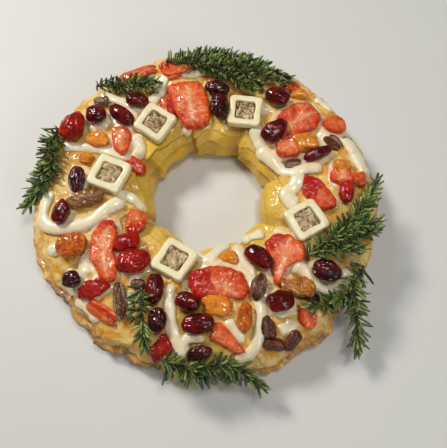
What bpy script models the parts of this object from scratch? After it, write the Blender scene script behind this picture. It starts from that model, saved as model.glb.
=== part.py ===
"""Christmas wreath cake: a ring of wrapped dough, iced in runs and set with candied fruit,
cherries, white-chocolate squares that hold chopped nut, and needled sprigs.

The ring stands on Z = 0 and +Z is up. Sizes and places below are in millimetres, measured from the
ring's own axis, and finish() brings every mesh to metres and moves the ring's axis to RING_AXIS.
A place is a pair (angle, radius): degrees anticlockwise from +X seen from above, and millimetres.
"""

import math
import random

import bmesh
import bpy
from mathutils import Matrix, Vector
from mathutils.bvhtree import BVHTree

COLLECTION = "christmas_wreath_cake"
MM = 0.001
RING_AXIS = (3.5, 5.8)  # so that the whole part's box is centred on the origin

# Dough ring
MID_RADIUS = 89.5
HALF_WIDTH = 46.0
HEIGHT = 36.0
WAIST = 8.0  # height of the ring's widest level
TUCK = 4.5  # how far the foot is drawn in under the widest level
OUTER_SHOULDER = 2.4  # superellipse powers of the two shoulders
INNER_SHOULDER = 3.5
FOOT_SHARE = 0.11  # share of the section's run that lies below the waist, on each side
COLUMNS = 72
FOOT_ROWS = 2
DOUGH_KEEP = 0.7  # share of the faces kept once the icing's seams have cut the skin up
CROWN_ROWS = 12

# Wraps of dough: each is thickest before the crease where it ends
CREASES = (15, 66, 110, 158, 208, 258, 305, 334)
CREASE_LEAN = 16.0  # degrees that a crease turns from the hole to the rim
CREASE_INNER = 3.6
CREASE_CROWN = 1.8
CREASE_OUTER = 2.8
# Bulges and dips of the outer rim: (angle, amount, spread in degrees)
RIM_BULGES = (
    (226, -2.4, 3), (236, -2.4, 3), (243, 2.0, 4), (249, -2.8, 4), (260, -2.2, 4), (268, 1.6, 6),
    (294, 2.8, 7), (306, -1.0, 4), (314, 1.6, 4), (338, -1.6, 6), (348, 1.6, 6), (200, 1.0, 9),
)

# Icing: a run is a width and the places that it passes through
ICING_RISE = 2.9
ICING_SINK = 1.7
ICING_STEP = 7.0
ICING_RUNS = (
    (8.5, ((143, 119), (139, 102), (135, 85))),
    (9.5, ((125, 125), (120, 104), (120, 93), (127, 87), (133, 84))),
    (9.0, ((168, 118), (167, 103), (165, 88), (164, 68), (156, 60), (147, 72))),
    (8.5, ((120, 95), (114, 104), (104, 101), (97, 105))),
    (7.0, ((118, 56), (111, 50))),
    (9.5, ((58, 61), (46, 53), (34, 57), (23, 61), (16, 65), (15, 72), (17, 91))),
    (9.0, ((15, 70), (8, 62), (359, 60), (353, 66))),
    (7.5, ((50, 119), (41, 123), (37, 126))),
    (8.5, ((28, 114), (22, 116), (15, 119), (10, 122))),
    (8.0, ((34, 98), (31, 104), (27, 99))),
    (9.0, ((320, 84), (322, 95), (321, 106), (325, 116), (329, 120), (334, 118), (336, 111))),
    (8.0, ((308, 48), (326, 55))),
    (8.5, ((261, 50), (274, 57), (286, 49), (296, 46))),
    (9.0, ((300, 49), (300, 64), (300, 73), (298, 86), (297, 101), (293, 116), (289, 124), (284, 126))),
    (8.5, ((283, 99), (285, 107), (288, 117))),
    (9.5, ((256, 79), (259, 90), (261, 99), (263, 108), (267, 118), (270, 122))),
    (7.5, ((267, 112), (275, 111))),
    (10.0, ((187, 116), (193, 121), (199, 122), (203, 113), (205, 99), (204, 86), (200, 73), (197, 62))),
    (8.0, ((190, 72), (195, 58), (207, 50))),
    (8.0, ((217, 97), (220, 106), (225, 108))),
    (9.0, ((207, 121), (212, 119))),
    (8.5, ((228, 124), (234, 121), (239, 124))),
    (7.5, ((238, 90), (243, 84))),
    (8.0, ((240, 96), (246, 106))),
)

# Small toppings fused to the dough: place, length, width, height, and turn from +X
FUSED = {
    "raisin": (
        ((145, 112), 10, 8, 7, 6), ((241, 104), 23, 9, 7, 106), ((243, 89), 8, 7, 6, 6),
        ((300, 85), 18, 8, 7, 83), ((297, 112), 13, 9, 8, 105), ((297, 123), 12, 7, 7, 172),
        ((303, 126), 14, 9, 7, 22), ((317, 111), 9, 7, 6, 153), ((27, 105), 12, 9, 7, 144),
        ((22, 68), 11, 7, 6, 6),
    ),
    "amber": (
        ((161, 93), 15, 12, 7, 173), ((172, 95), 10, 9, 6, 172), ((32, 84), 19, 14, 7, 17),
        ((15, 104), 14, 9, 7, 6), ((280, 90), 20, 12, 7, 178), ((292, 58), 12, 9, 6, 6),
        ((54, 112), 13, 8, 6, 7),
    ),
    "candied": (
        ((9, 114), 11, 10, 6, 6), ((238, 117), 24, 9, 6, 150), ((125, 117), 30, 7, 6, 22),
        ((110, 108), 29, 12, 6, 18), ((59, 113), 12, 10, 7, 7), ((121, 76), 14, 10, 7, 98),
        ((168, 58), 12, 9, 6, 152),
    ),
}

# White-chocolate squares: place and turn
SQUARE_HALF = 12.2
SQUARE_THICK = 6.6
SQUARE_WELL = 7.0  # half the side of the opening that holds the nut
SQUARE_EDGE = 1.1
SQUARE_CORNER = 3.6
SQUARES = (((134, 67), 64), ((71, 70), -3), ((181, 73), 74), ((344, 77), 35), ((254, 63), 66))
NUT_HALF = 6.3
NUT_THICK = 5.4

# Candied slabs with a drawn outline: place, thickness, corners from the place along X and Y
SLABS = (
    ((108, 73), 5.0, ((-20, 13), (-15, 19), (9, 24), (13, 11), (17, -3), (20, -13), (14, -19),
                      (-1, -22), (-6, -15), (-9, -10))),
    ((43, 90), 4.8, ((-21, 3), (-11, 11), (-2, 19), (9, 22), (19, 9), (15, -6), (4, -9), (-7, -17),
                     (-15, -20), (-10, -8))),
    ((319, 79), 4.8, ((-16, 11), (-8, 19), (3, 20), (6, 15), (13, 15), (16, 7), (14, 0), (4, -4),
                      (-1, -12), (-3, -20), (-8, -17), (-8, -4), (-12, 4))),
    ((282, 75), 5.0, ((-23, 8), (-13, 9), (-7, 12), (7, 12), (16, 9), (22, -3), (19, -11), (7, -12),
                      (-7, -10), (-12, -14), (-19, -11))),
    ((221, 88), 5.2, ((-7, 20), (1, 25), (7, 16), (5, 3), (10, -8), (13, -18), (6, -23), (-2, -19),
                      (-8, -10), (-12, 2), (-11, 12))),
    ((283, 112), 4.6, ((-13, 9), (-4, 10), (14, -7), (9, -9), (-4, -5), (-13, -1))),
    ((1, 84), 5.0, ((-14, 13), (-3, 14), (13, -3), (10, -11), (-2, -14), (-13, -4))),
    ((157, 77), 5.2, ((-9, 9), (-2, 12), (7, 11), (9, -4), (4, -13), (-4, -7))),
    ((231, 108), 4.8, ((-12, 0), (-5, 5), (2, 8), (10, 3), (7, -3), (-4, -8), (-12, -8))),
    ((261, 120), 4.8, ((0, 9), (5, 5), (8, -2), (1, -7), (-4, -9), (-9, -2))),
    ((33, 70), 4.6, ((-10, 7), (0, 9), (10, 6), (9, -6), (1, -9), (-9, -6))),
    ((34, 114), 5.6, ((-10, 3), (-3, 8), (8, 7), (10, -4), (4, -8), (-7, -6))),
    ((10, 102), 5.4, ((-9, 6), (0, 8), (9, 6), (9, -5), (0, -8), (-9, -5))),
    ((215, 60), 4.8, ((-7, 8), (0, 11), (6, 9), (7, -4), (2, -11), (-6, -8))),
    ((311, 118), 4.6, ((-7, 5), (-2, 8), (6, 4), (7, -4), (1, -8), (-6, -5))),
)

# Rounder fruit: place, length, width, height, turn, pointedness, squareness
CHUNKS = (
    ((212, 106), 22, 17, 9.5, 18, 0.1, 3.2), ((315, 98), 24, 16, 10.0, 167, 0.1, 2.7),
    ((290, 101), 20, 11, 8.5, 87, 0.1, 3.2), ((194, 90), 27, 14, 8.5, 23, 0.2, 2.4),
)
# Cherries: place, length, width, turn, pointedness
DARK_CHERRIES = (
    ((152, 104), 17, 16, 6, 0.1), ((145, 89), 24, 14, 148, 0.0), ((134, 91), 19, 13, 4, 0.1),
    ((198, 106), 20, 14, 69, 0.1), ((60, 94), 21, 15, 174, 0.1), ((47, 69), 25, 16, 39, 0.1),
    ((23, 88), 26, 11, 29, 0.5), ((308, 67), 23, 15, 147, 0.1), ((305, 100), 20, 16, 14, 0.1),
    ((327, 105), 22, 17, 176, 0.1), ((251, 86), 22, 13, 95, 0.1), ((257, 104), 17, 13, 93, 0.1),
    ((267, 88), 19, 15, 168, 0.1), ((272, 102), 23, 14, 11, 0.0), ((3, 103), 19, 11, 86, 0.2),
)
WRINKLED_CHERRIES = (
    ((184, 96), 22, 14, 98, 0.1), ((91, 84), 21, 14, 176, 0.1), ((88, 68), 23, 17, 103, 0.1),
    ((273, 119), 18, 11, 17, 0.1), ((223, 116), 14, 14, 12, 0.3),
)
RED_CHERRIES = (
    ((161, 113), 24, 18, 75, 0.3), ((235, 79), 22, 17, 21, 0.1), ((225, 73), 16, 13, 28, 0.1),
)

# Sprigs: stems as (place, height) stops; every stem after a sprig's first one branches off it
STEM_RADIUS = 1.15
STEM_SIDES = 4
STEM_STEP = 4.5
STEM_LIFT = 4.2  # the stem's height over what lies under it
NEEDLE = 13.5
NEEDLE_LEAN = 0.62  # how far a needle leans along its stem, as a share of straight out
SPRIGS = (
    (((163, 127), 34), ((174, 120), 38), ((182, 118), 38), ((187, 125), 34), ((190, 138), 17)),
    (((141, 127), 33), ((133, 110), 41), ((121, 98), 42)),
    (((113, 116), 38), ((101, 113), 41), ((91, 107), 43), ((81, 103), 44), ((69, 95), 44)),
    (((327, 90), 44), ((338, 97), 48), ((346, 110), 46), ((352, 126), 42)),
    (((337, 128), 32), ((330, 126), 36), ((326, 139), 22), ((321, 151), 18), ((318, 158), 17)),
    (((246, 90), 43), ((252, 109), 42), ((256, 123), 36)),
    (((262, 128), 31), ((270, 131), 31), ((277, 128), 34), ((284, 131), 31), ((290, 146), 17)),
)
BRANCHES = {
    2: (
        (((94, 109), 42), ((82, 113), 42), ((70, 114), 41), ((61, 115), 41)),
        (((104, 114), 41), ((97, 121), 38), ((90, 124), 36)),
    ),
    3: (
        (((342, 104), 47), ((354, 116), 43), ((7, 127), 38)),
        (((330, 91), 45), ((337, 108), 44), ((341, 120), 42)),
    ),
    4: ((((329, 129), 34), ((319, 121), 36), ((313, 115), 40)),),
}

GAP = 0.5  # clear space left between two pieces


def turned(angle):
    """Cosine and sine of an angle in degrees."""
    return math.cos(math.radians(angle)), math.sin(math.radians(angle))


def on_plan(place):
    """X and Y of a place."""
    cosine, sine = turned(place[0])
    return place[1] * cosine, place[1] * sine


def ramp(start, end, value):
    """0 before start, 1 after end, and smooth between them."""
    share = min(max((value - start) / (end - start), 0.0), 1.0)
    return share * share * (3.0 - 2.0 * share)


def ripple(angle, terms):
    """Sum of waves round the ring, each given as (count, amount, phase)."""
    around = math.radians(angle)
    return sum(amount * math.sin(count * around + phase) for count, amount, phase in terms)


def wrap_swell(angle, across):
    """Fullness of the wrap of dough, from 0 in a crease to 1. across is -1 at the hole, 1 at the rim."""
    turn = (angle - CREASE_LEAN * (across + 1.0) / 2.0) % 360.0
    start = max((crease for crease in CREASES if crease <= turn), default=CREASES[-1] - 360)
    end = min((crease for crease in CREASES if crease > turn), default=CREASES[0] + 360)
    share = (turn - start) / (end - start)
    return ramp(0.0, 0.4, share) * (1.0 - ramp(0.9, 1.0, share))


def dome(radius):
    """Height of the ring's smooth crown at a radius."""
    offset = radius - MID_RADIUS
    power = OUTER_SHOULDER if offset > 0 else INNER_SHOULDER
    share = min(abs(offset) / HALF_WIDTH, 0.999)
    return WAIST + (HEIGHT - WAIST) * (1.0 - share**power) ** (1.0 / power)


def dome_point(x, y, lift):
    """Point at a height over the smooth crown, square to it."""
    radius = math.hypot(x, y)
    slope = min(max(dome(radius + 0.5) - dome(radius - 0.5), -2.0), 2.0)
    normal = Vector((-slope * x / radius, -slope * y / radius, 1.0)).normalized()
    return Vector((x, y, dome(radius))) + normal * lift, normal


def ring_point(angle, run):
    """Point of the dough's skin. run goes from 0 at the outer foot over the crown to 1 at the inner foot."""
    bulge = sum(
        amount * math.exp(-((((angle - at + 180) % 360 - 180) / spread) ** 2))
        for at, amount, spread in RIM_BULGES
    )
    outer = HALF_WIDTH + bulge + ripple(angle, ((7, 0.5, 1.0), (11, 0.5, 0.3), (17, 0.3, 2.2)))
    inner = HALF_WIDTH + ripple(angle, ((3, 0.9, 2.0), (5, 0.7, 0.4), (9, 0.5, 1.7)))
    top = HEIGHT + ripple(angle, ((4, 0.7, 0.9), (9, 0.5, 2.6), (13, 0.3, 0.2)))
    side = 1.0 if run < 0.5 else -1.0
    half, power = (outer, OUTER_SHOULDER) if side > 0 else (inner, INNER_SHOULDER)
    from_foot = min(run, 1.0 - run)
    if from_foot < FOOT_SHARE:
        share = from_foot / FOOT_SHARE
        offset = half - TUCK * (1.0 - share) ** 2
        height = WAIST * share
        out, up = 1.0, 0.0
    else:
        sweep = math.pi / 2 * (from_foot - FOOT_SHARE) / (0.5 - FOOT_SHARE)
        offset = half * math.cos(sweep) ** (2.0 / power)
        height = WAIST + (top - WAIST) * math.sin(sweep) ** (2.0 / power)
        out, up = math.cos(sweep), math.sin(sweep)
    across = side * min(offset / half, 1.0)
    edge = CREASE_OUTER if side > 0 else CREASE_INNER
    depth = (CREASE_CROWN + (edge - CREASE_CROWN) * across**2) * (1.0 - wrap_swell(angle, across))
    if height > 0.0:
        offset -= depth * out
        height -= depth * up
    else:
        offset -= depth
    radius = MID_RADIUS + side * offset
    cosine, sine = turned(angle)
    return Vector((radius * cosine, radius * sine, height))


def tree_of(bm):
    """Search tree of a bmesh's faces."""
    bm.normal_update()
    return BVHTree.FromBMesh(bm, epsilon=0.0)


def dough_ring():
    """The ring as a loft of sections round the axis, closed by a flat base."""
    half_runs = [FOOT_SHARE * row / FOOT_ROWS for row in range(FOOT_ROWS)]
    crown = [FOOT_SHARE + (1 - 2 * FOOT_SHARE) * row / CROWN_ROWS for row in range(CROWN_ROWS + 1)]
    runs = half_runs + crown + [1.0 - run for run in reversed(half_runs)]
    bm = bmesh.new()
    columns = [
        [bm.verts.new(ring_point(360.0 * column / COLUMNS, run)) for run in runs]
        for column in range(COLUMNS)
    ]
    rows = len(runs)
    for column in range(COLUMNS):
        here, there = columns[column], columns[(column + 1) % COLUMNS]
        for row in range(rows):
            below = (row + 1) % rows
            bm.faces.new((here[row], there[row], there[below], here[below]))
    bmesh.ops.recalc_face_normals(bm, faces=bm.faces)
    bmesh.ops.triangulate(bm, faces=bm.faces)
    return bm


def smooth_path(stops, step):
    """Points a step apart on a smooth curve through the stops."""
    ends = [2 * stops[0] - stops[1]] + list(stops) + [2 * stops[-1] - stops[-2]]
    fine = []
    for before, start, end, after in zip(ends, ends[1:], ends[2:], ends[3:], strict=False):
        for part in range(12):
            t = part / 12
            fine.append(
                0.5 * (2 * start + (end - before) * t + (2 * before - 5 * start + 4 * end - after) * t**2
                       + (3 * start - before - 3 * end + after) * t**3)
            )
    fine.append(stops[-1])
    length = sum((b - a).length for a, b in zip(fine, fine[1:], strict=False))
    count = max(2, round(length / step))
    path, walked, goal = [fine[0]], 0.0, length / count
    for a, b in zip(fine, fine[1:], strict=False):
        span = (b - a).length
        while len(path) < count and walked + span >= goal * len(path):
            path.append(a.lerp(b, (goal * len(path) - walked) / span))
        walked += span
    path.append(fine[-1])
    return path


def top_of(x, y, trees):
    """Height of the highest surface under a point of the plan, or None off them all."""
    hits = [tree.ray_cast(Vector((x, y, 200.0)), Vector((0, 0, -1)))[0] for tree in trees]
    heights = [hit.z for hit in hits if hit is not None]
    return max(heights) if heights else None


def icing_run(width, places, skin):
    """One run of icing: a low rounded strip whose underside is sunk into the dough."""
    stops = [Vector((*on_plan(place), 0.0)) for place in places]
    path = smooth_path(stops, ICING_STEP)
    bm = bmesh.new()
    rings = []
    for index, point in enumerate(path):
        ahead = path[min(index + 1, len(path) - 1)] - path[max(index - 1, 0)]
        ahead.normalize()
        before = (point - path[max(index - 1, 0)]).normalized()
        after = (path[min(index + 1, len(path) - 1)] - point).normalized()
        bend = before.angle(after, 0.0)
        turn_radius = ICING_STEP / max(bend, 0.01)
        inside = 1.0 if before.cross(after).z > 0 else -1.0
        surface, normal = dome_point(point.x, point.y, 0.0)
        height = top_of(point.x, point.y, [skin])
        surface.z = surface.z if height is None else height
        side = normal.cross(ahead).normalized()
        end = min(index, len(path) - 1 - index)
        full = 1.08 if end == 1 else 0.6 if end == 0 else 1.0 + 0.1 * math.sin(2.3 * index)
        rise = ICING_RISE * (0.55 if end == 0 else 1.0)
        ring = []
        for across, up in ((-1, 0), (-0.52, 0.88), (0.52, 0.88), (1, 0)):
            reach = width / 2 * full * across
            if across * inside > 0:
                reach = max(min(reach, 0.8 * turn_radius), -0.8 * turn_radius)
            ring.append(bm.verts.new(surface + side * reach + normal * (rise * up)))
        for across in (0.8, -0.8):
            reach = width / 2 * full * across
            if across * inside > 0:
                reach = max(min(reach, 0.64 * turn_radius), -0.64 * turn_radius)
            ring.append(bm.verts.new(surface + side * reach - normal * ICING_SINK))
        rings.append(ring)
    for here, there in zip(rings, rings[1:], strict=False):
        for index in range(len(here)):
            beside = (index + 1) % len(here)
            bm.faces.new((here[index], here[beside], there[beside], there[index]))
    bm.faces.new(rings[0])
    bm.faces.new(list(reversed(rings[-1])))
    bmesh.ops.recalc_face_normals(bm, faces=bm.faces)
    bmesh.ops.triangulate(bm, faces=bm.faces)
    return bm


def fruit(size, pointed, square, furrow, dice, around=8, along=6):
    """A rounded fruit about the origin with its length on X, furrowed lengthwise where asked."""
    bm = bmesh.new()
    bmesh.ops.create_uvsphere(bm, u_segments=around, v_segments=along, radius=1.0)
    bmesh.ops.rotate(bm, verts=bm.verts, matrix=Matrix.Rotation(math.pi / 2, 3, "Y"))
    phase = dice.uniform(0, 6.28)
    for vert in bm.verts:
        unit = vert.co.copy()
        span = sum(abs(value) ** square for value in unit) ** (1.0 / square)
        unit /= span
        spin = math.atan2(vert.co.z, vert.co.y)
        dent = 1.0 + 0.05 * math.sin(2 * spin + phase) + dice.uniform(-0.03, 0.03)
        dent -= furrow * (0.5 + 0.5 * math.sin(4 * spin + phase))
        taper = 1.0 - pointed * max(unit.x, 0.0) ** 2 - 0.4 * pointed * max(-unit.x, 0.0) ** 2
        vert.co = Vector((
            unit.x * size[0] / 2,
            unit.y * size[1] / 2 * dent * taper,
            unit.z * size[2] / 2 * dent * taper,
        ))
    bmesh.ops.recalc_face_normals(bm, faces=bm.faces)
    bmesh.ops.triangulate(bm, faces=bm.faces)
    return bm


def seat(place, turn):
    """Matrix that stands a piece's own axes on the smooth crown, with X turned from the ring's +X."""
    point, normal = dome_point(*on_plan(place), 0.0)
    cosine, sine = turned(turn)
    ahead = Vector((cosine, sine, 0.0))
    ahead = (ahead - normal * ahead.dot(normal)).normalized()
    side = normal.cross(ahead)
    matrix = Matrix((ahead, side, normal)).transposed().to_4x4()
    matrix.translation = point
    return matrix


def reach(start, towards, trees):
    """Distance from a point to the nearest surface on the way, or a very long one."""
    hits = [tree.ray_cast(start, towards)[3] for tree in trees]
    return min((hit for hit in hits if hit is not None), default=1e9)


def nestle(bm, centre, rise, trees):
    """Draws back what would press into a neighbour, after lifting a piece that sits too deep in one."""
    for _ in range(24):
        shares = [
            (reach(centre, (v.co - centre).normalized(), trees) - GAP) / (v.co - centre).length
            for v in bm.verts
        ]
        if min(shares) > 0.38:
            break
        bmesh.ops.translate(bm, verts=bm.verts, vec=rise * 0.4)
        centre += rise * 0.4
    for vert in bm.verts:
        away = vert.co - centre
        room = max(reach(centre, away.normalized(), trees) - GAP, 0.2 * away.length)
        if away.length > room:
            vert.co = centre + away.normalized() * room
    pressed = set()
    for _ in range(60):
        tree = tree_of(bm)
        bm.faces.ensure_lookup_table()
        touching = {
            vert for other in trees for own, _ in tree.overlap(other) for vert in bm.faces[own].verts
        }
        if not touching:
            break
        for vert in touching:
            vert.co = centre.lerp(vert.co, 0.94)
        pressed |= touching
    for vert in pressed:
        vert.co = centre.lerp(vert.co, 0.96)
    return bm


def seated_fruit(place, size, turn, pointed, square, furrow, trees, dice):
    """A fruit resting on what lies under its place."""
    bm = fruit(size, pointed, square, furrow, dice)
    matrix = seat(place, turn)
    rise = matrix.col[2].to_3d()
    ground = top_of(*on_plan(place), trees)
    sunk = max(ground - matrix.translation.z, 0.0) * rise.z if ground is not None else 0.0
    matrix.translation += rise * (0.45 * size[2] + min(sunk, 9.0))
    matrix = matrix @ Matrix.Rotation(dice.uniform(-0.12, 0.12), 4, "X")
    bmesh.ops.transform(bm, matrix=matrix, verts=bm.verts)
    return nestle(bm, matrix.translation.copy(), rise, trees)


def slab(place, thickness, corners, trees, dice):
    """A slab cut to an outline, laid over the crown with softened edges and an uneven top."""
    outline = []
    for here, there in zip(corners, corners[1:] + corners[:1], strict=True):
        for share in (0.2, 0.8):
            outline.append(Vector(here).lerp(Vector(there), share))
    if len(outline) > 16:
        outline = [a.lerp(b, 0.5) for a, b in zip(outline[1::2], outline[2::2] + outline[:1], strict=True)]
    bm = bmesh.new()
    x, y = on_plan(place)
    rings = []
    for share, height in ((0.9, 0.6), (1.0, 0.6 + 0.45 * thickness), (0.84, 0.6 + 0.92 * thickness)):
        ring = []
        for corner in outline:
            lift = height + (dice.uniform(-0.4, 0.4) if share < 0.9 else 0.0)
            point, _ = dome_point(x + corner.x * share, y + corner.y * share, lift)
            ring.append(bm.verts.new(point))
        rings.append(ring)
    for here, there in zip(rings, rings[1:], strict=False):
        for index in range(len(here)):
            beside = (index + 1) % len(here)
            bm.faces.new((here[index], here[beside], there[beside], there[index]))
    for ring, height in ((rings[0], 0.6), (rings[-1], 0.6 + thickness)):
        middle = bm.verts.new(dome_point(x, y, height)[0])
        for index in range(len(ring)):
            bm.faces.new((ring[index], ring[(index + 1) % len(ring)], middle))
    bmesh.ops.recalc_face_normals(bm, faces=bm.faces)
    bmesh.ops.triangulate(bm, faces=bm.faces)
    centre, rise = dome_point(x, y, 0.6 + 0.55 * thickness)
    return nestle(bm, centre, rise, trees)


def square_ring(half, corner, height):
    """Corners of a rounded square at a height."""
    points = []
    for quarter in range(4):
        turn = Matrix.Rotation(quarter * math.pi / 2, 3, "Z")
        points.append(turn @ Vector((half, half - corner, height)))
        points.append(turn @ Vector((half - corner, half, height)))
    return points


def chocolate_square(place, turn, trees):
    """An open square frame with softened edges, lifted just clear of what it lies on."""
    bm = bmesh.new()
    inner = SQUARE_CORNER * 0.4
    sections = (
        (SQUARE_HALF - 0.4, SQUARE_CORNER, 0.0),
        (SQUARE_HALF, SQUARE_CORNER, SQUARE_THICK - SQUARE_EDGE),
        (SQUARE_HALF - SQUARE_EDGE, SQUARE_CORNER, SQUARE_THICK),
        (SQUARE_WELL + SQUARE_EDGE / 2, inner, SQUARE_THICK),
        (SQUARE_WELL, inner, SQUARE_THICK - SQUARE_EDGE),
        (SQUARE_WELL, inner, 0.0),
    )
    rings = [[bm.verts.new(p) for p in square_ring(*section)] for section in sections]
    for here, there in zip(rings, rings[1:] + rings[:1], strict=True):
        for index in range(len(here)):
            beside = (index + 1) % len(here)
            bm.faces.new((here[index], here[beside], there[beside], there[index]))
    bmesh.ops.recalc_face_normals(bm, faces=bm.faces)
    bmesh.ops.triangulate(bm, faces=bm.faces)
    matrix = seat(place, turn)
    rise = matrix.col[2].to_3d()
    bmesh.ops.transform(bm, matrix=matrix, verts=bm.verts)
    lifted = 0.0
    while any(tree_of(bm).overlap(tree) for tree in trees) and lifted < 9.0:
        bmesh.ops.translate(bm, verts=bm.verts, vec=rise * 0.25)
        lifted += 0.25
    bmesh.ops.translate(bm, verts=bm.verts, vec=rise * 0.3)
    matrix.translation += rise * (lifted + 0.3)
    return bm, matrix


def nut(frame_matrix, trees, dice):
    """A chopped piece of nut that sits in a square's opening a little below its rim."""
    size = (2 * NUT_HALF, 2 * NUT_HALF, NUT_THICK)
    bm = fruit(size, 0.0, 5.0, 0.06, dice, around=8)
    lift = Matrix.Translation((0, 0, SQUARE_THICK - 1.0 - NUT_THICK / 2))
    matrix = frame_matrix @ lift
    bmesh.ops.transform(bm, matrix=matrix, verts=bm.verts)
    return nestle(bm, matrix.translation.copy(), frame_matrix.col[2].to_3d(), trees)


def stem_path(stops, trees, lift):
    """Stations of a stem, kept a lift over whatever lies beneath and evened out along its length."""
    points = [Vector((*on_plan(place), height)) for place, height in stops]
    path = smooth_path(points, STEM_STEP)
    floors = []
    for point in path:
        tops = [
            top_of(point.x + dx, point.y + dy, trees)
            for dx, dy in ((0, 0), (2, 0), (-2, 0), (0, 2), (0, -2))
        ]
        tops = [top for top in tops if top is not None and top > point.z - 24]
        floors.append(max(tops) + lift if tops else 0.0)
    heights = [max(point.z, floor) for point, floor in zip(path, floors, strict=True)]
    for _ in range(6):
        evened = [
            (heights[max(i - 1, 0)] + heights[i] + heights[min(i + 1, len(heights) - 1)]) / 3
            for i in range(len(heights))
        ]
        heights = [max(height, floor) for height, floor in zip(evened, floors, strict=True)]
    return [Vector((point.x, point.y, height)) for point, height in zip(path, heights, strict=True)]


def needled_stem(path, trees, bare, dice):
    """A tapered stem whose side faces are each drawn out into a needle, short where something is near."""
    bm = bmesh.new()
    rings, last = [], len(path) - 1
    side = None
    for index, point in enumerate(path):
        ahead = (path[min(index + 1, last)] - path[max(index - 1, 0)]).normalized()
        side = Vector((0, 0, 1)) if side is None else side
        side = (side - ahead * side.dot(ahead)).normalized()
        up = ahead.cross(side)
        radius = STEM_RADIUS * (1.0 - 0.45 * index / last)
        ring = []
        for step in range(STEM_SIDES):
            spin = 2 * math.pi * step / STEM_SIDES + 0.5 * index
            ring.append(bm.verts.new(point + (side * math.cos(spin) + up * math.sin(spin)) * radius))
        rings.append(ring)
    spots = []
    for index in range(last):
        here, there = rings[index], rings[index + 1]
        ahead = (path[index + 1] - path[index]).normalized()
        for step in range(STEM_SIDES):
            beside = (step + 1) % STEM_SIDES
            face = bm.faces.new((here[step], here[beside], there[beside], there[step]))
            spots.append((face, index, ahead))
    bm.faces.new(rings[0])
    tip = bm.faces.new(list(reversed(rings[-1])))
    bmesh.ops.recalc_face_normals(bm, faces=bm.faces)
    needles = []
    for face, index, ahead in spots:
        middle = face.calc_center_median()
        axis = (path[index] + path[index + 1]) / 2
        out = (middle - axis).normalized()
        share = index / last
        sway = Vector([dice.uniform(-0.13, 0.13) for _ in range(3)])
        towards = (out + ahead * (NEEDLE_LEAN + 0.5 * share**2) + sway).normalized()
        length = NEEDLE * (1.0 - 0.3 * share) * dice.uniform(0.88, 1.1)
        length = min(length, reach(axis + out * 0.9, towards, trees) - 1.2)
        if towards.z < 0:
            length = min(length, (middle.z - 2.0) / -towards.z)
        if index >= bare and length > 1.5:
            needles.append((face, middle, middle + towards * length))
    end = tip.calc_center_median()
    needles.append((tip, end, end + (path[-1] - path[-2]).normalized() * 0.5 * NEEDLE))
    points = []
    for face, foot, point in needles:
        made = bmesh.ops.poke(bm, faces=[face])["verts"][0]
        made.co = point
        points.append((made, foot))
    bmesh.ops.triangulate(bm, faces=bm.faces)
    shorten_needles(bm, points, trees)
    return bm


def shorten_needles(bm, points, trees):
    """Shortens each needle that touches another piece, or another needle of its own stem."""
    feet = {vert: foot for vert, foot in points}
    for _ in range(12):
        bm.faces.ensure_lookup_table()
        tree = tree_of(bm)
        touching = set()
        for other in trees:
            for own, _ in tree.overlap(other):
                touching.update(vert for vert in bm.faces[own].verts if vert in feet)
        for first, second in tree.overlap(tree):
            a, b = bm.faces[first], bm.faces[second]
            if not set(a.verts) & set(b.verts):
                touching.update(vert for vert in a.verts if vert in feet)
        if not touching:
            break
        for vert in touching:
            vert.co = feet[vert].lerp(vert.co, 0.72)
    for vert, foot in points:
        vert.co = foot.lerp(vert.co, 0.95)


def material(name, colour, roughness, coat=0.0, subsurface=0.0):
    """A plain Principled material."""
    made = bpy.data.materials.new(name)
    made.use_nodes = True
    shader = made.node_tree.nodes["Principled BSDF"]
    shader.inputs["Base Color"].default_value = (*colour, 1.0)
    shader.inputs["Roughness"].default_value = roughness
    shader.inputs["Coat Weight"].default_value = coat
    shader.inputs["Subsurface Weight"].default_value = subsurface
    made.diffuse_color = (*colour, 1.0)
    return made


LOOKS = {
    "dough": ((0.80, 0.58, 0.28), 0.45, 0.2, 0.1),
    "candied": ((0.78, 0.14, 0.07), 0.30, 0.4, 0.2),
    "amber": ((0.72, 0.32, 0.06), 0.30, 0.4, 0.2),
    "raisin": ((0.30, 0.13, 0.05), 0.40, 0.3, 0.1),
    "dark_cherry": ((0.13, 0.008, 0.012), 0.15, 0.7, 0.1),
    "red_cherry": ((0.50, 0.015, 0.015), 0.18, 0.6, 0.2),
    "chocolate": ((0.90, 0.82, 0.56), 0.35, 0.1, 0.2),
    "nut": ((0.50, 0.40, 0.26), 0.60, 0.0, 0.0),
    "needle": ((0.06, 0.16, 0.03), 0.50, 0.1, 0.0),
}


def joined(name, bm, others, keep=1.0):
    """One mesh object: a bmesh joined to all the others by a Boolean union, then thinned to a share of its faces."""
    base = mesh_object(name, bm)
    extras = bpy.data.collections.new(name + "_extras")
    for index, other in enumerate(others):
        extras.objects.link(mesh_object(f"{name}_extra_{index}", other, link=False))
    union = base.modifiers.new("union", "BOOLEAN")
    union.operation = "UNION"
    union.operand_type = "COLLECTION"
    union.collection = extras
    union.solver = "MANIFOLD"
    if keep < 1.0:
        thin = base.modifiers.new("thin", "DECIMATE")
        thin.ratio = keep
    bpy.context.view_layer.update()
    made = bpy.data.meshes.new_from_object(base.evaluated_get(bpy.context.evaluated_depsgraph_get()))
    base.modifiers.clear()
    base.data = made
    for extra in list(extras.objects):
        bpy.data.objects.remove(extra)
    bpy.data.collections.remove(extras)
    return base


def mesh_object(name, bm, link=True):
    """Mesh object of a bmesh, still in millimetres."""
    mesh = bpy.data.meshes.new(name)
    bm.to_mesh(mesh)
    obj = bpy.data.objects.new(name, mesh)
    if link:
        bpy.data.collections[COLLECTION].objects.link(obj)
    return obj


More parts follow.
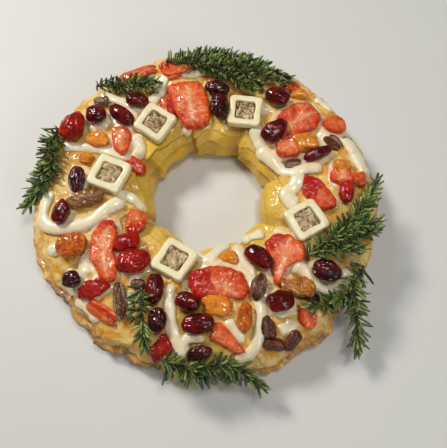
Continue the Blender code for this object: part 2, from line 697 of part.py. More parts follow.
def finish(obj, look):
    """Gives an object its material, brings it to metres and moves the ring's axis to its place."""
    obj.data.materials.clear()
    obj.data.materials.append(material(obj.name, *LOOKS[look]))
    shift = Matrix.Translation((RING_AXIS[0] * MM, RING_AXIS[1] * MM, 0.0))
    obj.data.transform(shift @ Matrix.Scale(MM, 4))
    obj.data.update()


def tree_of_object(obj):
    """Search tree of a mesh object, in millimetres."""
    bm = bmesh.new()
    bm.from_mesh(obj.data)
    tree = tree_of(bm)
    bm.free()
    return tree


def iced_dough(dice):
    """The dough ring with its icing runs and small toppings fused on."""
    ring = dough_ring()
    skin = tree_of(ring)
    extras = [icing_run(width, places, skin) for width, places in ICING_RUNS]
    bedded = [skin] + [tree_of(extra) for extra in extras]
    for group in FUSED.values():
        for place, length, width, height, turn in group:
            bm = fruit((length, width, height), 0.15, 2.4, 0.05, dice, around=7, along=5)
            matrix = seat(place, turn)
            ground = top_of(*on_plan(place), bedded)
            matrix.translation.z = max(ground, matrix.translation.z - 1.0)
            matrix.translation += matrix.col[2].to_3d() * (0.12 * height)
            bmesh.ops.transform(bm, matrix=matrix, verts=bm.verts)
            extras.append(bm)
    return joined("dough_ring", ring, extras, DOUGH_KEEP)


def main():
    for obj in list(bpy.data.objects):
        bpy.data.objects.remove(obj)
    bpy.context.scene.unit_settings.system = "METRIC"
    parts = bpy.data.collections.new(COLLECTION)
    bpy.context.scene.collection.children.link(parts)
    dice = random.Random(24)
    dough = iced_dough(dice)
    trees = [tree_of_object(dough)]
    made = [(dough, "dough")]

    def add(name, bm, look):
        trees.append(tree_of(bm))
        made.append((mesh_object(name, bm), look))

    frames = []
    for index, (place, turn) in enumerate(SQUARES, 1):
        bm, matrix = chocolate_square(place, turn, trees)
        frames.append(matrix)
        add(f"chocolate_square_{index}", bm, "chocolate")
    for index, matrix in enumerate(frames, 1):
        add(f"nut_{index}", nut(matrix, trees, dice), "nut")
    for index, (place, thickness, corners) in enumerate(SLABS, 1):
        add(f"candied_slab_{index:02d}", slab(place, thickness, corners, trees, dice), "candied")
    for index, (place, length, width, height, turn, pointed, square) in enumerate(CHUNKS, 1):
        bm = seated_fruit(place, (length, width, height), turn, pointed, square, 0.06, trees, dice)
        add(f"amber_chunk_{index}", bm, "amber")
    for kind, group, furrow in (
        ("dark_cherry", DARK_CHERRIES, 0.0),
        ("wrinkled_cherry", WRINKLED_CHERRIES, 0.14),
        ("red_cherry", RED_CHERRIES, 0.05),
    ):
        for index, (place, length, width, turn, pointed) in enumerate(group, 1):
            size = (length, width, 0.86 * width)
            bm = seated_fruit(place, size, turn, pointed, 2.1, furrow, trees, dice)
            look = "red_cherry" if kind == "red_cherry" else "dark_cherry"
            add(f"{kind}_{index:02d}", bm, look)
    for index, stops in enumerate(SPRIGS):
        stem = needled_stem(stem_path(stops, trees, STEM_LIFT), trees, 0, dice)
        shoots = [
            needled_stem(stem_path(branch, trees, STEM_LIFT), trees, 1, dice)
            for branch in BRANCHES.get(index, ())
        ]
        name = f"sprig_{index + 1}"
        obj = joined(name, stem, shoots) if shoots else mesh_object(name, stem)
        trees.append(tree_of_object(obj))
        made.append((obj, "needle"))
    for obj, look in made:
        finish(obj, look)


main()
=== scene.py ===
"""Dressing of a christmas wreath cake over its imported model.

Sizes and places are in millimetres about the ring's own axis. A place is a pair (angle, radius):
degrees anticlockwise from +X seen from above, and millimetres. Every mesh is brought to metres in
the shared frame once it is shaped.
"""

import logging
import math
from dataclasses import dataclass, field
from enum import Enum
from typing import Any

import bmesh
import bpy
import numpy as np
from mathutils import Matrix, Vector, noise
from mathutils.bvhtree import BVHTree


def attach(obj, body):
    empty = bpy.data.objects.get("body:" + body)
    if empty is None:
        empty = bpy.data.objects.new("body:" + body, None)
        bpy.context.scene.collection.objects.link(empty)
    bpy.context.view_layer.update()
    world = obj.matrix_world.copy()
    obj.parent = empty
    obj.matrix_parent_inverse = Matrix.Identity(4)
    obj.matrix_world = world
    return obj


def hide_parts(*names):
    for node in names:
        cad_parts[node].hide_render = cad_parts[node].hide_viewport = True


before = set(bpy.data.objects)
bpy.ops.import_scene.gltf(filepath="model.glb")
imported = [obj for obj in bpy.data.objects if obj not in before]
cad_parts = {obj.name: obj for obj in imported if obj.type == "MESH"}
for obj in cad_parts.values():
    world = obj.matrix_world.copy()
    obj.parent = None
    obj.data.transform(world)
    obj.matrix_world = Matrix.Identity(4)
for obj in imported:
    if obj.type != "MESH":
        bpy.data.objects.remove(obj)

LOG = logging.getLogger("wreath_cake")
MM = 0.001
RING_AXIS = (3.5, 5.8)  # the ring's axis in the shared frame
CURVE_PARTS = 12  # parts that a curve is measured in from one stop to the next
LOW_FLOOR = (0.3, 0.001)  # half width and height, in metres, of the floor that needles stop at
SQUARE = np.array(((-1.0, -1.0, 0.0), (1.0, -1.0, 0.0), (1.0, 1.0, 0.0), (-1.0, 1.0, 0.0)))

Colour = tuple[float, float, float]
Place = tuple[float, float]
Point = tuple[float, float, float]
Array = np.ndarray
Faces = list[tuple[int, ...]]
Socket = bpy.types.NodeSocket
Material = bpy.types.Material
Mesh = bpy.types.Mesh
Piece = bpy.types.Object
# swellings round the ring (angle, amount, spread) or waves round it (count, amount, phase)
Rounds = tuple[tuple[float, float, float], ...]
DULL_CHERRY = (0.024, 0.0012, 0.002), (0.09, 0.003, 0.004)  # skin and painted glow of a dull cherry


# ----- frame and mesh helpers


def to_shared(points: Array) -> Array:
    """Points in millimetres about the ring's axis, as metres in the shared frame."""
    return (np.asarray(points, float) + np.array((*RING_AXIS, 0.0))) * MM


def to_ring(points: Array) -> Array:
    """Points in metres in the shared frame, as millimetres about the ring's axis."""
    return np.asarray(points, float) / MM - np.array((*RING_AXIS, 0.0))


def on_plan(place: Place) -> tuple[float, float]:
    """X and Y of a place."""
    around = math.radians(place[0])
    return place[1] * math.cos(around), place[1] * math.sin(around)


def ramp(start: float, end: float, value: Array) -> Array:
    """0 before start, 1 after end, and smooth between them."""
    share = np.clip((value - start) / (end - start), 0.0, 1.0)
    return share * share * (3.0 - 2.0 * share)


def unit(vectors: Array) -> Array:
    """Vectors brought to length 1."""
    return vectors / np.maximum(np.linalg.norm(vectors, axis=-1, keepdims=True), 1e-12)


def grain_of(points: Array, pitch: float, octaves: int = 2, seed: float = 0.0) -> Array:
    """Fractal noise at points.

    Args:
        points: Where the noise is read, as an array of three columns.
        pitch: Size of the noise's largest features, in the points' own unit.
        octaves: How many finer layers it holds.
        seed: Picks another part of the noise.

    Returns:
        One value for each point, mostly between -0.7 and 0.7.
    """
    shifted = np.asarray(points, float) / pitch + np.array((17.3, 5.1, -9.7)) * seed
    return np.array([noise.fractal(Vector(p), 1.0, 2.0, octaves) for p in shifted.tolist()])


def streak(value: Array, width: float) -> Array:
    """1 where a value is 0, falling off to 0 over a width on both sides."""
    return np.exp(-((value / width) ** 2))


def wound(spin: Array, along: Array) -> Array:
    """Seamless coordinates, from an angle round a piece and a share along it."""
    return np.stack([np.cos(spin), np.sin(spin), along], axis=-1)


def vectors_of(items: Any, name: str) -> Array:
    """One vector of each of a mesh's items, as an array of three columns."""
    flat = np.empty(len(items) * 3, np.float32)
    items.foreach_get(name, flat)
    return flat.reshape(-1, 3).astype(float)


def mesh_points(mesh: Mesh) -> Array:
    """A mesh's vertices."""
    return vectors_of(mesh.vertices, "co")


def mesh_normals(mesh: Mesh) -> Array:
    """A mesh's vertex normals."""
    return vectors_of(mesh.vertex_normals, "vector")


def move_points(mesh: Mesh, points: Array) -> None:
    """Gives a mesh's vertices new places."""
    mesh.vertices.foreach_set("co", np.asarray(points, np.float32).ravel())
    mesh.update()


def mark(mesh: Mesh, name: str, values: Array) -> None:
    """Stores one number or one vector for each vertex, for a finish to read."""
    wide = np.ndim(values) == 2
    made = mesh.attributes.new(name, "FLOAT_VECTOR" if wide else "FLOAT", "POINT")
    made.data.foreach_set("vector" if wide else "value", np.asarray(values, np.float32).ravel())


def link(name: str, data: Any, hidden: bool = False) -> Piece:
    """A new object in the scene, left out of renders where it is a helper."""
    obj = bpy.data.objects.new(name, data)
    obj.hide_render = hidden
    bpy.context.scene.collection.objects.link(obj)
    return obj


def mesh_piece(name: str, points: Array, faces: Faces, hidden: bool = False) -> Piece:
    """Mesh object in the scene.

    Args:
        name: Name of the object and its mesh.
        points: Its vertices.
        faces: Corners of each face.
        hidden: Whether it is a helper.

    Returns:
        The linked object.
    """
    mesh = bpy.data.meshes.new(name)
    mesh.from_pydata(np.asarray(points, float).tolist(), [], faces)
    return link(name, mesh, hidden)


def loft_faces(rings: int, around: int, closed: bool = True) -> Faces:
    """Faces between rings of points, each ring closed on itself.

    Args:
        rings: How many rings there are.
        around: How many points each has.
        closed: Whether the last ring is joined to the first.

    Returns:
        Corners of each face.
    """
    faces = []
    for ring in range(rings if closed else rings - 1):
        here, there = ring * around, (ring + 1) % rings * around
        for step in range(around):
            beside = (step + 1) % around
            faces.append((here + step, here + beside, there + beside, there + step))
    return faces


def face_outward(mesh: Mesh) -> None:
    """Turns the faces of closed shells outward."""
    bm = bmesh.new()
    bm.from_mesh(mesh)
    bmesh.ops.recalc_face_normals(bm, faces=bm.faces)
    bm.to_mesh(mesh)
    bm.free()


def evaluated_mesh(obj: Piece) -> Mesh:
    """A plain mesh of an object with its modifiers applied."""
    bpy.context.view_layer.update()
    graph = bpy.context.evaluated_depsgraph_get()
    return bpy.data.meshes.new_from_object(obj.evaluated_get(graph))


def settle(obj: Piece, finish: Material, nodes: tuple[str, ...] = ()) -> Piece:
    """Dresses a finished piece, already in metres, and hangs it on the frame.

    Args:
        obj: The piece, at the origin, with its place in its mesh.
        finish: Its material.
        nodes: CAD nodes that it stands for.

    Returns:
        The same object.
    """
    obj.data.materials.clear()
    obj.data.materials.append(finish)
    obj.data.shade_smooth()
    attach(obj, "root")
    if nodes:
        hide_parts(*nodes)
    LOG.info("%s: %d faces", obj.name, len(obj.data.polygons))
    return obj


# ----- finishes


class NodeTree:
    """A node tree that is built call by call."""

    prefix = "ShaderNode"

    def __init__(self, tree: bpy.types.NodeTree) -> None:
        """Takes the tree to build in."""
        self.tree = tree

    def feed(self, socket: Socket, value: Any) -> None:
        """Links a socket's source to it, or sets its constant."""
        if isinstance(value, Socket):
            self.tree.links.new(value, socket)
        elif socket.type == "RGBA":
            socket.default_value = (*value, 1.0)
        else:
            socket.default_value = value

    def add(self, kind: str, settings: dict[str, Any] | None = None, **feeds: Any) -> bpy.types.Node:
        """A new node.

        Args:
            kind: The node's type, without the tree's own prefix.
            settings: The node's own settings.
            feeds: Sources or constants by socket name, with _ for a space, or by i and its number.

        Returns:
            The node.
        """
        made = self.tree.nodes.new(kind if kind.startswith(("Function", "Shader")) else self.prefix + kind)
        for key, value in (settings or {}).items():
            setattr(made, key, value)
        for key, value in feeds.items():
            numbered = key[0] == "i" and key[1:].isdigit()
            self.feed(made.inputs[int(key[1:]) if numbered else key.replace("_", " ")], value)
        return made

    def take(self, kind: str, settings: dict[str, Any] | None = None, **feeds: Any) -> Socket:
        """The first output of a new node, made as in add."""
        return self.add(kind, settings, **feeds).outputs[0]

    def math(self, operation: str, first: Any, second: Any = 0.0) -> Socket:
        """One operation on numbers."""
        return self.take("ShaderNodeMath", {"operation": operation}, i0=first, i1=second)

    def times(self, first: Any, second: Any) -> Socket:
        """Product of two numbers."""
        return self.math("MULTIPLY", first, second)

    def plus(self, first: Any, second: Any) -> Socket:
        """Sum of two numbers."""
        return self.math("ADD", first, second)

    def minus(self, first: Any, second: Any) -> Socket:
        """Difference of two numbers."""
        return self.math("SUBTRACT", first, second)


@dataclass(frozen=True)
class Depth:
    """How light spreads under a surface: its share, its tint and its reach in millimetres."""

    share: float
    tint: Colour
    reach: float


class Shader(NodeTree):
    """One material. Its patterns are in millimetres."""

    def __init__(self, name: str) -> None:
        """Starts a material with a Principled surface."""
        self.material = bpy.data.materials.new(name)
        self.material.use_nodes = True
        super().__init__(self.material.node_tree)
        self.surface = self.tree.nodes["Principled BSDF"]

    def spot(self, stretch: Point = (1.0, 1.0, 1.0)) -> Socket:
        """Object coordinates in millimetres, stretched by axis."""
        place = self.add("TexCoord").outputs["Object"]
        return self.take("Mapping", Vector=place, Scale=[value / MM for value in stretch])

    def marked(self, name: str) -> Socket:
        """A number stored on the piece."""
        return self.add("Attribute", {"attribute_name": name}).outputs["Fac"]

    def marked_vector(self, name: str, stretch: Point) -> Socket:
        """A vector stored on the piece, stretched by axis."""
        source = self.add("Attribute", {"attribute_name": name}).outputs["Vector"]
        return self.take("Mapping", Vector=source, Scale=stretch)

    def noise(self, vector: Socket, scale: float, detail: float = 3.0, warp: float = 0.0) -> Socket:
        """Fractal noise between 0 and 1."""
        made = self.add("TexNoise", Vector=vector, Scale=scale, Detail=detail, Distortion=warp)
        return made.outputs["Fac"]

    def cells(self, vector: Socket, scale: float) -> Socket:
        """Distance inside scattered cells."""
        return self.add("TexVoronoi", Vector=vector, Scale=scale).outputs["Distance"]

    def between(self, value: Any, start: float, end: float, low: float = 0.0, high: float = 1.0) -> Socket:
        """A smooth step from low to high as a value goes from start to end."""
        made = self.add(
            "MapRange", {"interpolation_type": "SMOOTHSTEP"}, Value=value, From_Min=start, From_Max=end,
            To_Min=low, To_Max=high,
        )
        return made.outputs["Result"]

    def blend(self, share: Any, first: Any, second: Any) -> Socket:
        """Two colours mixed by a share."""
        return self.add("Mix", {"data_type": "RGBA"}, i0=share, i6=first, i7=second).outputs[2]

    def layers(self, colour: Any, *over: tuple[Any, Any]) -> Socket:
        """A colour with others laid over it in turn, each by a share."""
        for share, tone in over:
            colour = self.blend(share, colour, tone)
        return colour

    def relief(self, height: Socket, depth: float, over: Socket | None = None) -> Socket:
        """Bumps of a depth in millimetres, over another relief where one is given."""
        made = self.add("Bump", Strength=1.0, Distance=depth * MM, Height=height)
        if over is not None:
            self.feed(made.inputs["Normal"], over)
        return made.outputs["Normal"]

    def dress(
        self, colour: Any, roughness: Any, normal: Any = None, coat: Any = None,
        depth: Depth | None = None, gloss: Place | None = None, specular: float | None = None,
    ) -> Material:
        """Closes the material.

        Args:
            colour: Base colour, linked or constant.
            roughness: Roughness, linked or constant.
            normal: Relief, if there is one.
            coat: Relief of the glossy coat, if it isn't the same.
            depth: How light spreads under the surface, if it does.
            gloss: Weight and roughness of the glossy coat, if it has one.
            specular: Strength of the surface's own shine, if it isn't the usual.

        Returns:
            The material.
        """
        sockets = self.surface.inputs
        self.feed(sockets["Base Color"], colour)
        self.feed(sockets["Roughness"], roughness)
        if normal is not None:
            self.feed(sockets["Normal"], normal)
            self.feed(sockets["Coat Normal"], normal if coat is None else coat)
        if depth is not None:
            sockets["Subsurface Weight"].default_value = depth.share
            sockets["Subsurface Radius"].default_value = depth.tint
            sockets["Subsurface Scale"].default_value = depth.reach * MM
        if gloss is not None:
            sockets["Coat Weight"].default_value, sockets["Coat Roughness"].default_value = gloss
        if specular is not None:
            sockets["Specular IOR Level"].default_value = specular
        return self.material


@dataclass(frozen=True)
class DoughFinish:
    """Glazed baked dough: pale on the crown, deep yellow in the hole and browned at the foot."""

    crown: Colour = (0.76, 0.45, 0.10)
    pale: Colour = (0.86, 0.63, 0.24)
    hollow: Colour = (0.75, 0.495, 0.058)
    glazed: Colour = (0.74, 0.32, 0.032)
    folded: Colour = (0.46, 0.25, 0.045)
    # painted shade: darker where the wraps meet in creases and just under each lapped edge
    toasted: Colour = (0.50, 0.28, 0.12)
    crust: Colour = (0.19, 0.085, 0.033)
    depth: Depth = Depth(0.25, (1.0, 0.5, 0.15), 4.0)

    def material(self) -> Material:
        """Builds its nodes."""
        s = Shader("baked_dough")
        spot = s.spot()
        browned, inner, crease = s.marked("browned"), s.marked("inner"), s.marked("crease")
        mottle = s.noise(spot, 0.055, 4.0)
        patch = s.noise(spot, 0.09, 4.0, 0.8)
        fine = s.noise(spot, 0.42, 6.0)
        crinkle = s.noise(spot, 0.23, 3.0, 1.5)
        on_top = s.minus(1.0, inner)
        in_hole = s.times(inner, s.between(mottle, 0.35, 0.65, 0.95, 0.7))
        burn = s.plus(browned, s.times(s.minus(fine, 0.5), 1.4))
        colour = s.layers(
            self.crown,
            (s.between(mottle, 0.38, 0.62), self.pale),
            (s.times(s.between(patch, 0.47, 0.62, 0.0, 0.85), on_top), self.glazed),
            (in_hole, self.hollow),
            (s.times(s.between(crinkle, 0.55, 0.72, 0.0, 0.5), on_top), self.pale),
            # painted shade of the creases and of the lapped edges
            (s.times(crease, 0.75), self.folded),
            (s.between(burn, 0.25, 0.8), self.toasted),
            (s.between(burn, 0.75, 1.35, 0.0, 0.8), self.crust),
        )
        rough = s.plus(s.between(fine, 0.3, 0.7, 0.38, 0.52), s.times(browned, 0.2))
        coat = s.relief(s.cells(spot, 0.3), 0.25)
        normal = s.relief(crinkle, 0.45, s.relief(fine, 0.5, coat))
        return s.dress(colour, rough, normal, coat, self.depth, (0.3, 0.06), 0.2)


@dataclass(frozen=True)
class IcingFinish:
    """Glossy cream icing that takes a blush from the red fruit beside it."""

    cream: Colour = (0.88, 0.81, 0.58)
    butter: Colour = (0.84, 0.72, 0.42)
    film: Colour = (0.84, 0.66, 0.34)
    blush: Colour = (0.86, 0.40, 0.24)
    depth: Depth = Depth(0.25, (1.0, 0.7, 0.4), 3.0)

    def material(self) -> Material:
        """Builds its nodes."""
        s = Shader("piped_icing")
        spot = s.spot()
        cloud = s.noise(spot, 0.07, 3.0)
        colour = s.layers(
            self.cream,
            (s.between(cloud, 0.4, 0.75, 0.0, 0.7), self.butter),
            (s.times(s.marked("thin"), s.between(cloud, 0.3, 0.6, 0.55, 0.95)), self.film),
            (s.times(s.marked("stain"), s.between(cloud, 0.3, 0.7, 0.35, 0.9)), self.blush),
        )
        rough, normal = s.between(cloud, 0.3, 0.7, 0.32, 0.45), s.relief(s.noise(spot, 0.22, 2.0), 0.3)
        return s.dress(colour, rough, normal, depth=self.depth, gloss=(0.6, 0.05))


@dataclass(frozen=True)
class FleshTones:
    """Colours of one candied slice."""

    flesh: Colour
    deep: Colour
    pale: Colour


class Tone(Enum):
    """The colours that candied slices come in."""

    CORAL = FleshTones((0.79, 0.104, 0.012), (0.50, 0.011, 0.003), (0.96, 0.52, 0.27))
    ORANGE = FleshTones((0.77, 0.118, 0.016), (0.48, 0.010, 0.003), (0.93, 0.42, 0.18))
    VERMILION = FleshTones((0.66, 0.060, 0.006), (0.46, 0.009, 0.003), (0.95, 0.45, 0.21))
    DEEP = FleshTones((0.40, 0.007, 0.004), (0.26, 0.003, 0.002), (0.64, 0.09, 0.04))


@dataclass(frozen=True)
class CandiedFinish:
    """Wet candied fruit flesh with pale veins and a redder skin side."""

    tone: Tone
    depth: Depth = Depth(0.3, (1.0, 0.2, 0.06), 3.0)

    def material(self) -> Material:
        """Builds its nodes."""
        tones = self.tone.value
        s = Shader("candied_" + self.tone.name.lower())
        spot = s.spot()
        fibre = s.noise(s.marked_vector("grain", (2.2, 2.2, 2.2)), 1.0, 3.0, 0.5)
        blotch = s.noise(spot, 0.16, 3.0, 0.5)
        grit = s.noise(spot, 0.7, 3.0)
        colour = s.layers(
            tones.flesh,
            (s.between(blotch, 0.42, 0.72, 0.0, 0.45), tones.deep),
            (s.marked("skin"), tones.deep),
            (s.between(fibre, 0.54, 0.74, 0.0, 0.28), tones.pale),
            (s.times(s.marked("pale"), s.between(grit, 0.3, 0.62, 0.55, 1.0)), tones.pale),
        )
        coat = s.relief(s.noise(spot, 0.75, 2.0), 0.16, s.relief(s.cells(spot, 0.42), 0.22))
        normal = s.relief(grit, 0.3, s.relief(fibre, 0.6, coat))
        rough = s.between(grit, 0.3, 0.7, 0.3, 0.5)
        return s.dress(colour, rough, normal, coat, self.depth, (0.7, 0.02), 0.1)


@dataclass(frozen=True)
class AmberFinish:
    """Glossy candied fruit with a pebbled skin, from orange to brown."""

    name: str
    bright: Colour = (0.62, 0.140, 0.009)
    dark: Colour = (0.40, 0.060, 0.004)
    pale: Colour = (0.80, 0.32, 0.05)
    pebbled: float = 0.12  # depth of the pebbles
    depth: Depth = Depth(0.25, (1.0, 0.35, 0.06), 3.0)

    def material(self) -> Material:
        """Builds its nodes."""
        s = Shader(self.name)
        spot = s.spot()
        fibre = s.noise(s.marked_vector("grain", (2.0, 2.0, 0.8)), 1.3, 3.0, 0.9)
        blotch = s.noise(spot, 0.26, 4.0, 0.8)
        grit = s.noise(spot, 0.7, 3.0)
        colour = s.blend(s.between(blotch, 0.36, 0.62), self.dark, self.bright)
        colour = s.blend(s.between(fibre, 0.5, 0.74, 0.0, 0.5), colour, self.pale)
        coat = s.relief(s.cells(spot, 0.4), self.pebbled)
        normal = s.relief(grit, 0.35, s.relief(fibre, 0.5, coat))
        rough = s.between(grit, 0.3, 0.7, 0.3, 0.5)
        return s.dress(colour, rough, normal, coat, self.depth, (0.8, 0.03), 0.1)


@dataclass(frozen=True)
class CherryFinish:
    """Glossy skin of a soaked cherry, near black to red with a painted glow of light through it, with fine
    wrinkles and a little icing dust and painted highlight on their ridges.
    """

    name: str
    skin: Colour = (0.050, 0.0012, 0.0016)
    # glow: painted glow of light through the skin, spread at random by noise
    glow: Colour = (0.17, 0.0040, 0.0036)
    # share of pale on the wrinkle ridges: icing dust, and painted highlight there
    dust_and_sheen: float = 0.0
    wrinkle: float = 0.8
    # colour of that pale: icing dust and painted highlight
    dust_sheen_tone: Colour = (0.45, 0.34, 0.35)
    depth: Depth = Depth(0.1, (1.0, 0.05, 0.03), 2.0)

    def material(self) -> Material:
        """Builds its nodes."""
        s = Shader(self.name)
        spot = s.spot()
        fold = s.noise(s.marked_vector("grain", (2.4, 2.4, 1.2)), 1.3, 3.0, 0.8)
        cloud = s.noise(spot, 0.13, 3.0)
        pit = s.noise(spot, 0.5, 3.0)
        # painted glow of light through the skin, in patches of noise
        colour = s.blend(s.between(cloud, 0.38, 0.66), self.skin, self.glow)
        # pale on the wrinkle ridges: icing dust and painted highlight
        colour = s.blend(s.times(s.between(fold, 0.52, 0.72), self.dust_and_sheen), colour, self.dust_sheen_tone)
        coat = s.relief(pit, 0.07 * self.wrinkle, s.relief(fold, 0.26 * self.wrinkle))
        normal = s.relief(pit, 0.5 * self.wrinkle, coat)
        rough = s.between(pit, 0.35, 0.7, 0.3, 0.5)
        return s.dress(colour, rough, normal, coat, self.depth, (0.75, 0.02), 0.05)


@dataclass(frozen=True)
class RaisinFinish:
    """Brown wrinkled skin, with painted light on its ridges that leaves the folds darker."""

    skin: Colour = (0.075, 0.013, 0.004)
    # painted light: the wrinkle ridges lighter and the folds darker, as light falls on them
    painted_ridge_light: Colour = (0.34, 0.100, 0.040)
    cream: Colour = (0.62, 0.47, 0.28)

    def material(self) -> Material:
        """Builds its nodes."""
        s = Shader("raisin_skin")
        spot = s.spot()
        fold = s.noise(s.marked_vector("grain", (2.2, 2.2, 1.0)), 1.5, 4.0, 1.0)
        fine = s.noise(spot, 0.7, 3.0)
        smear = s.times(s.marked("skin"), s.between(fine, 0.38, 0.58, 0.1, 0.85))
        # the ridge colour follows the relief's fold noise: painted light and shade of the wrinkles
        colour = s.layers(self.skin, (s.between(fold, 0.44, 0.66), self.painted_ridge_light), (smear, self.cream))
        coat = s.relief(s.noise(spot, 0.6, 2.0), 0.22, s.relief(fold, 0.35))
        normal = s.relief(fine, 0.5, s.relief(fold, 0.5, coat))
        rough = s.between(fine, 0.3, 0.7, 0.3, 0.5)
        return s.dress(colour, rough, normal, coat, gloss=(0.7, 0.03), specular=0.05)


@dataclass(frozen=True)
class ChocolateFinish:
    """Ivory white chocolate with a soft sheen and faint hand marks."""

    ivory: Colour = (0.90, 0.82, 0.53)
    shade: Colour = (0.83, 0.71, 0.40)
    depth: Depth = Depth(0.15, (1.0, 0.7, 0.35), 2.0)

    def material(self) -> Material:
        """Builds its nodes."""
        s = Shader("white_chocolate")
        spot = s.spot()
        cloud = s.noise(spot, 0.13, 3.0)
        scuff = s.noise(spot, 0.5, 5.0)
        colour = s.blend(s.between(cloud, 0.42, 0.72, 0.0, 0.6), self.ivory, self.shade)
        normal = s.relief(scuff, 0.16, s.relief(cloud, 0.7))
        rough = s.between(scuff, 0.3, 0.7, 0.26, 0.42)
        return s.dress(colour, rough, normal, depth=self.depth, gloss=(0.15, 0.2))


@dataclass(frozen=True)
class NutFinish:
    """Chopped nut: cream flesh, grey-brown husk on its folds, and painted shade in its cracks, its fold
    hollows and the gap round it.
    """

    flesh: Colour = (0.55, 0.40, 0.21)
    skin: Colour = (0.80, 0.68, 0.45)
    husk: Colour = (0.30, 0.175, 0.075)
    # painted shade in the cracks, the fold hollows and the gap at the opening's wall
    shaded_crack: Colour = (0.15, 0.075, 0.030)

    def material(self) -> Material:
        """Builds its nodes."""
        s = Shader("chopped_nut")
        spot = s.spot()
        vein = s.noise(spot, 0.26, 3.0, 1.2)
        thread = s.noise(s.spot((1.0, 0.35, 1.0)), 0.55, 2.0, 1.0)
        colour = s.layers(
            self.flesh,
            (s.between(s.marked("husk"), 0.5, 0.8, 0.0, 0.8), self.husk),
            (s.between(vein, 0.55, 0.75, 0.0, 0.6), self.husk),
            (s.between(thread, 0.5, 0.62, 0.0, 0.75), self.skin),
            (s.between(s.marked("shaded_crack"), 0.45, 0.9), self.shaded_crack),
        )
        normal = s.relief(s.noise(spot, 1.3, 4.0), 0.35, s.relief(vein, 0.8))
        return s.dress(colour, s.between(vein, 0.3, 0.7, 0.4, 0.62), normal, gloss=(0.1, 0.03))


@dataclass(frozen=True)
class NeedleFinish:
    """Conifer needles, with painted shade at the root near the stem and lighter to the tip, on an olive-brown
    stem.
    """

    leaf: Colour = (0.024, 0.068, 0.008)
    light: Colour = (0.370, 0.460, 0.110)
    # dusk: painted shade on each needle near the stem, and the dark tone of the stem's bark
    dusk: Colour = (0.012, 0.030, 0.006)
    wood: Colour = (0.15, 0.095, 0.035)

    def material(self) -> Material:
        """Builds its nodes."""
        s = Shader("conifer_needles")
        tint = s.marked("tint")
        bark = s.noise(s.spot(), 0.6, 4.0)
        colour = s.layers(
            self.leaf,
            (s.math("POWER", tint, 2.2), self.light),
            (s.between(tint, 0.07, 0.03), self.wood),
            # painted shade near the stem, gone by 45% of each needle's length
            (s.between(s.marked("reach"), 0.0, 0.45, 0.7, 0.0), self.dusk),
            (s.marked("woody"), s.blend(s.between(bark, 0.35, 0.65), self.wood, self.dusk)),
        )
        rough = s.between(bark, 0.3, 0.7, 0.30, 0.45)
        return s.dress(colour, rough, s.relief(bark, 0.3), gloss=(0.5, 0.12))


@dataclass(frozen=True)
class TableFinish:
    """Pale matt table top."""

    tone: Colour = (0.70, 0.705, 0.68)

    def material(self) -> Material:
        """Builds its nodes."""
        s = Shader("pale_table")
        cloud = s.noise(s.spot(), 0.012, 3.0)
        darker: Colour = tuple(0.96 * value for value in self.tone)
        return s.dress(s.blend(cloud, self.tone, darker), 0.6)


# ----- the ring's form


@dataclass(frozen=True)
class Crown:
    """Smooth form of the ring, which every topping is set on."""

    mid_radius: float = 89.5
    half_width: float = 46.0
    height: float = 36.0
    waist: float = 8.0
    outer_shoulder: float = 2.4
    inner_shoulder: float = 3.5

    def level(self, radius: float) -> float:
        """Height of the crown at a radius."""
        offset = radius - self.mid_radius
        power = self.outer_shoulder if offset > 0 else self.inner_shoulder
        share = min(abs(offset) / self.half_width, 0.999)
        return self.waist + (self.height - self.waist) * (1.0 - share**power) ** (1.0 / power)

    def point(self, x: float, y: float, lift: float) -> tuple[Vector, Vector]:
        """Point at a height over the crown, square to it, and the crown's normal there.

        Args:
            x: Where it is on the plan.
            y: The same, along Y.
            lift: How far it stands over the crown.

        Returns:
            The point and the normal.
        """
        radius = math.hypot(x, y)
        slope = min(max(self.level(radius + 0.5) - self.level(radius - 0.5), -2.0), 2.0)
        normal = Vector((-slope * x / radius, -slope * y / radius, 1.0)).normalized()
        return Vector((x, y, self.level(radius))) + normal * lift, normal

    def seat(self, place: Place, turn: float) -> Matrix:
        """Matrix that stands a piece's own axes on the crown, X turned from the ring's +X."""
        point, normal = self.point(*on_plan(place), 0.0)
        around = math.radians(turn)
        ahead = Vector((math.cos(around), math.sin(around), 0.0))
        ahead = (ahead - normal * ahead.dot(normal)).normalized()
        matrix = Matrix((ahead, normal.cross(ahead), normal)).transposed().to_4x4()
        matrix.translation = point
        return matrix


def cad_mesh(node: str) -> Mesh:
    """A CAD node's mesh."""
    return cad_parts[node].data


def cad_points(node: str) -> Array:
    """A CAD node's vertices, in millimetres about the ring's axis."""
    return to_ring(mesh_points(cad_mesh(node)))


@dataclass
class Ground:
    """Everything that a topping can rest on, as search trees in millimetres."""

    trees: list[BVHTree] = field(default_factory=list)
    reach: float = 60.0  # how far a surface is looked for
    above: float = 200.0  # a height over everything

    def add(self, mesh: Mesh) -> None:
        """Adds a mesh that is in metres in the shared frame."""
        faces = [tuple(polygon.vertices) for polygon in mesh.polygons]
        self.trees.append(BVHTree.FromPolygons(to_ring(mesh_points(mesh)).tolist(), faces))

    def top(self, x: float, y: float) -> float | None:
        """Height of the highest surface under a point of the plan, or None off them all."""
        start, down = Vector((x, y, self.above)), Vector((0.0, 0.0, -1.0))
        hits = [tree.ray_cast(start, down)[0] for tree in self.trees]
        return max((hit.z for hit in hits if hit is not None), default=None)

    def distances(self, points: Array) -> Array:
        """Distance from each point to the nearest surface."""
        made = []
        for point in points.tolist():
            found = [tree.find_nearest(Vector(point), self.reach)[3] for tree in self.trees]
            made.append(min((value for value in found if value is not None), default=self.reach))
        return np.array(made)


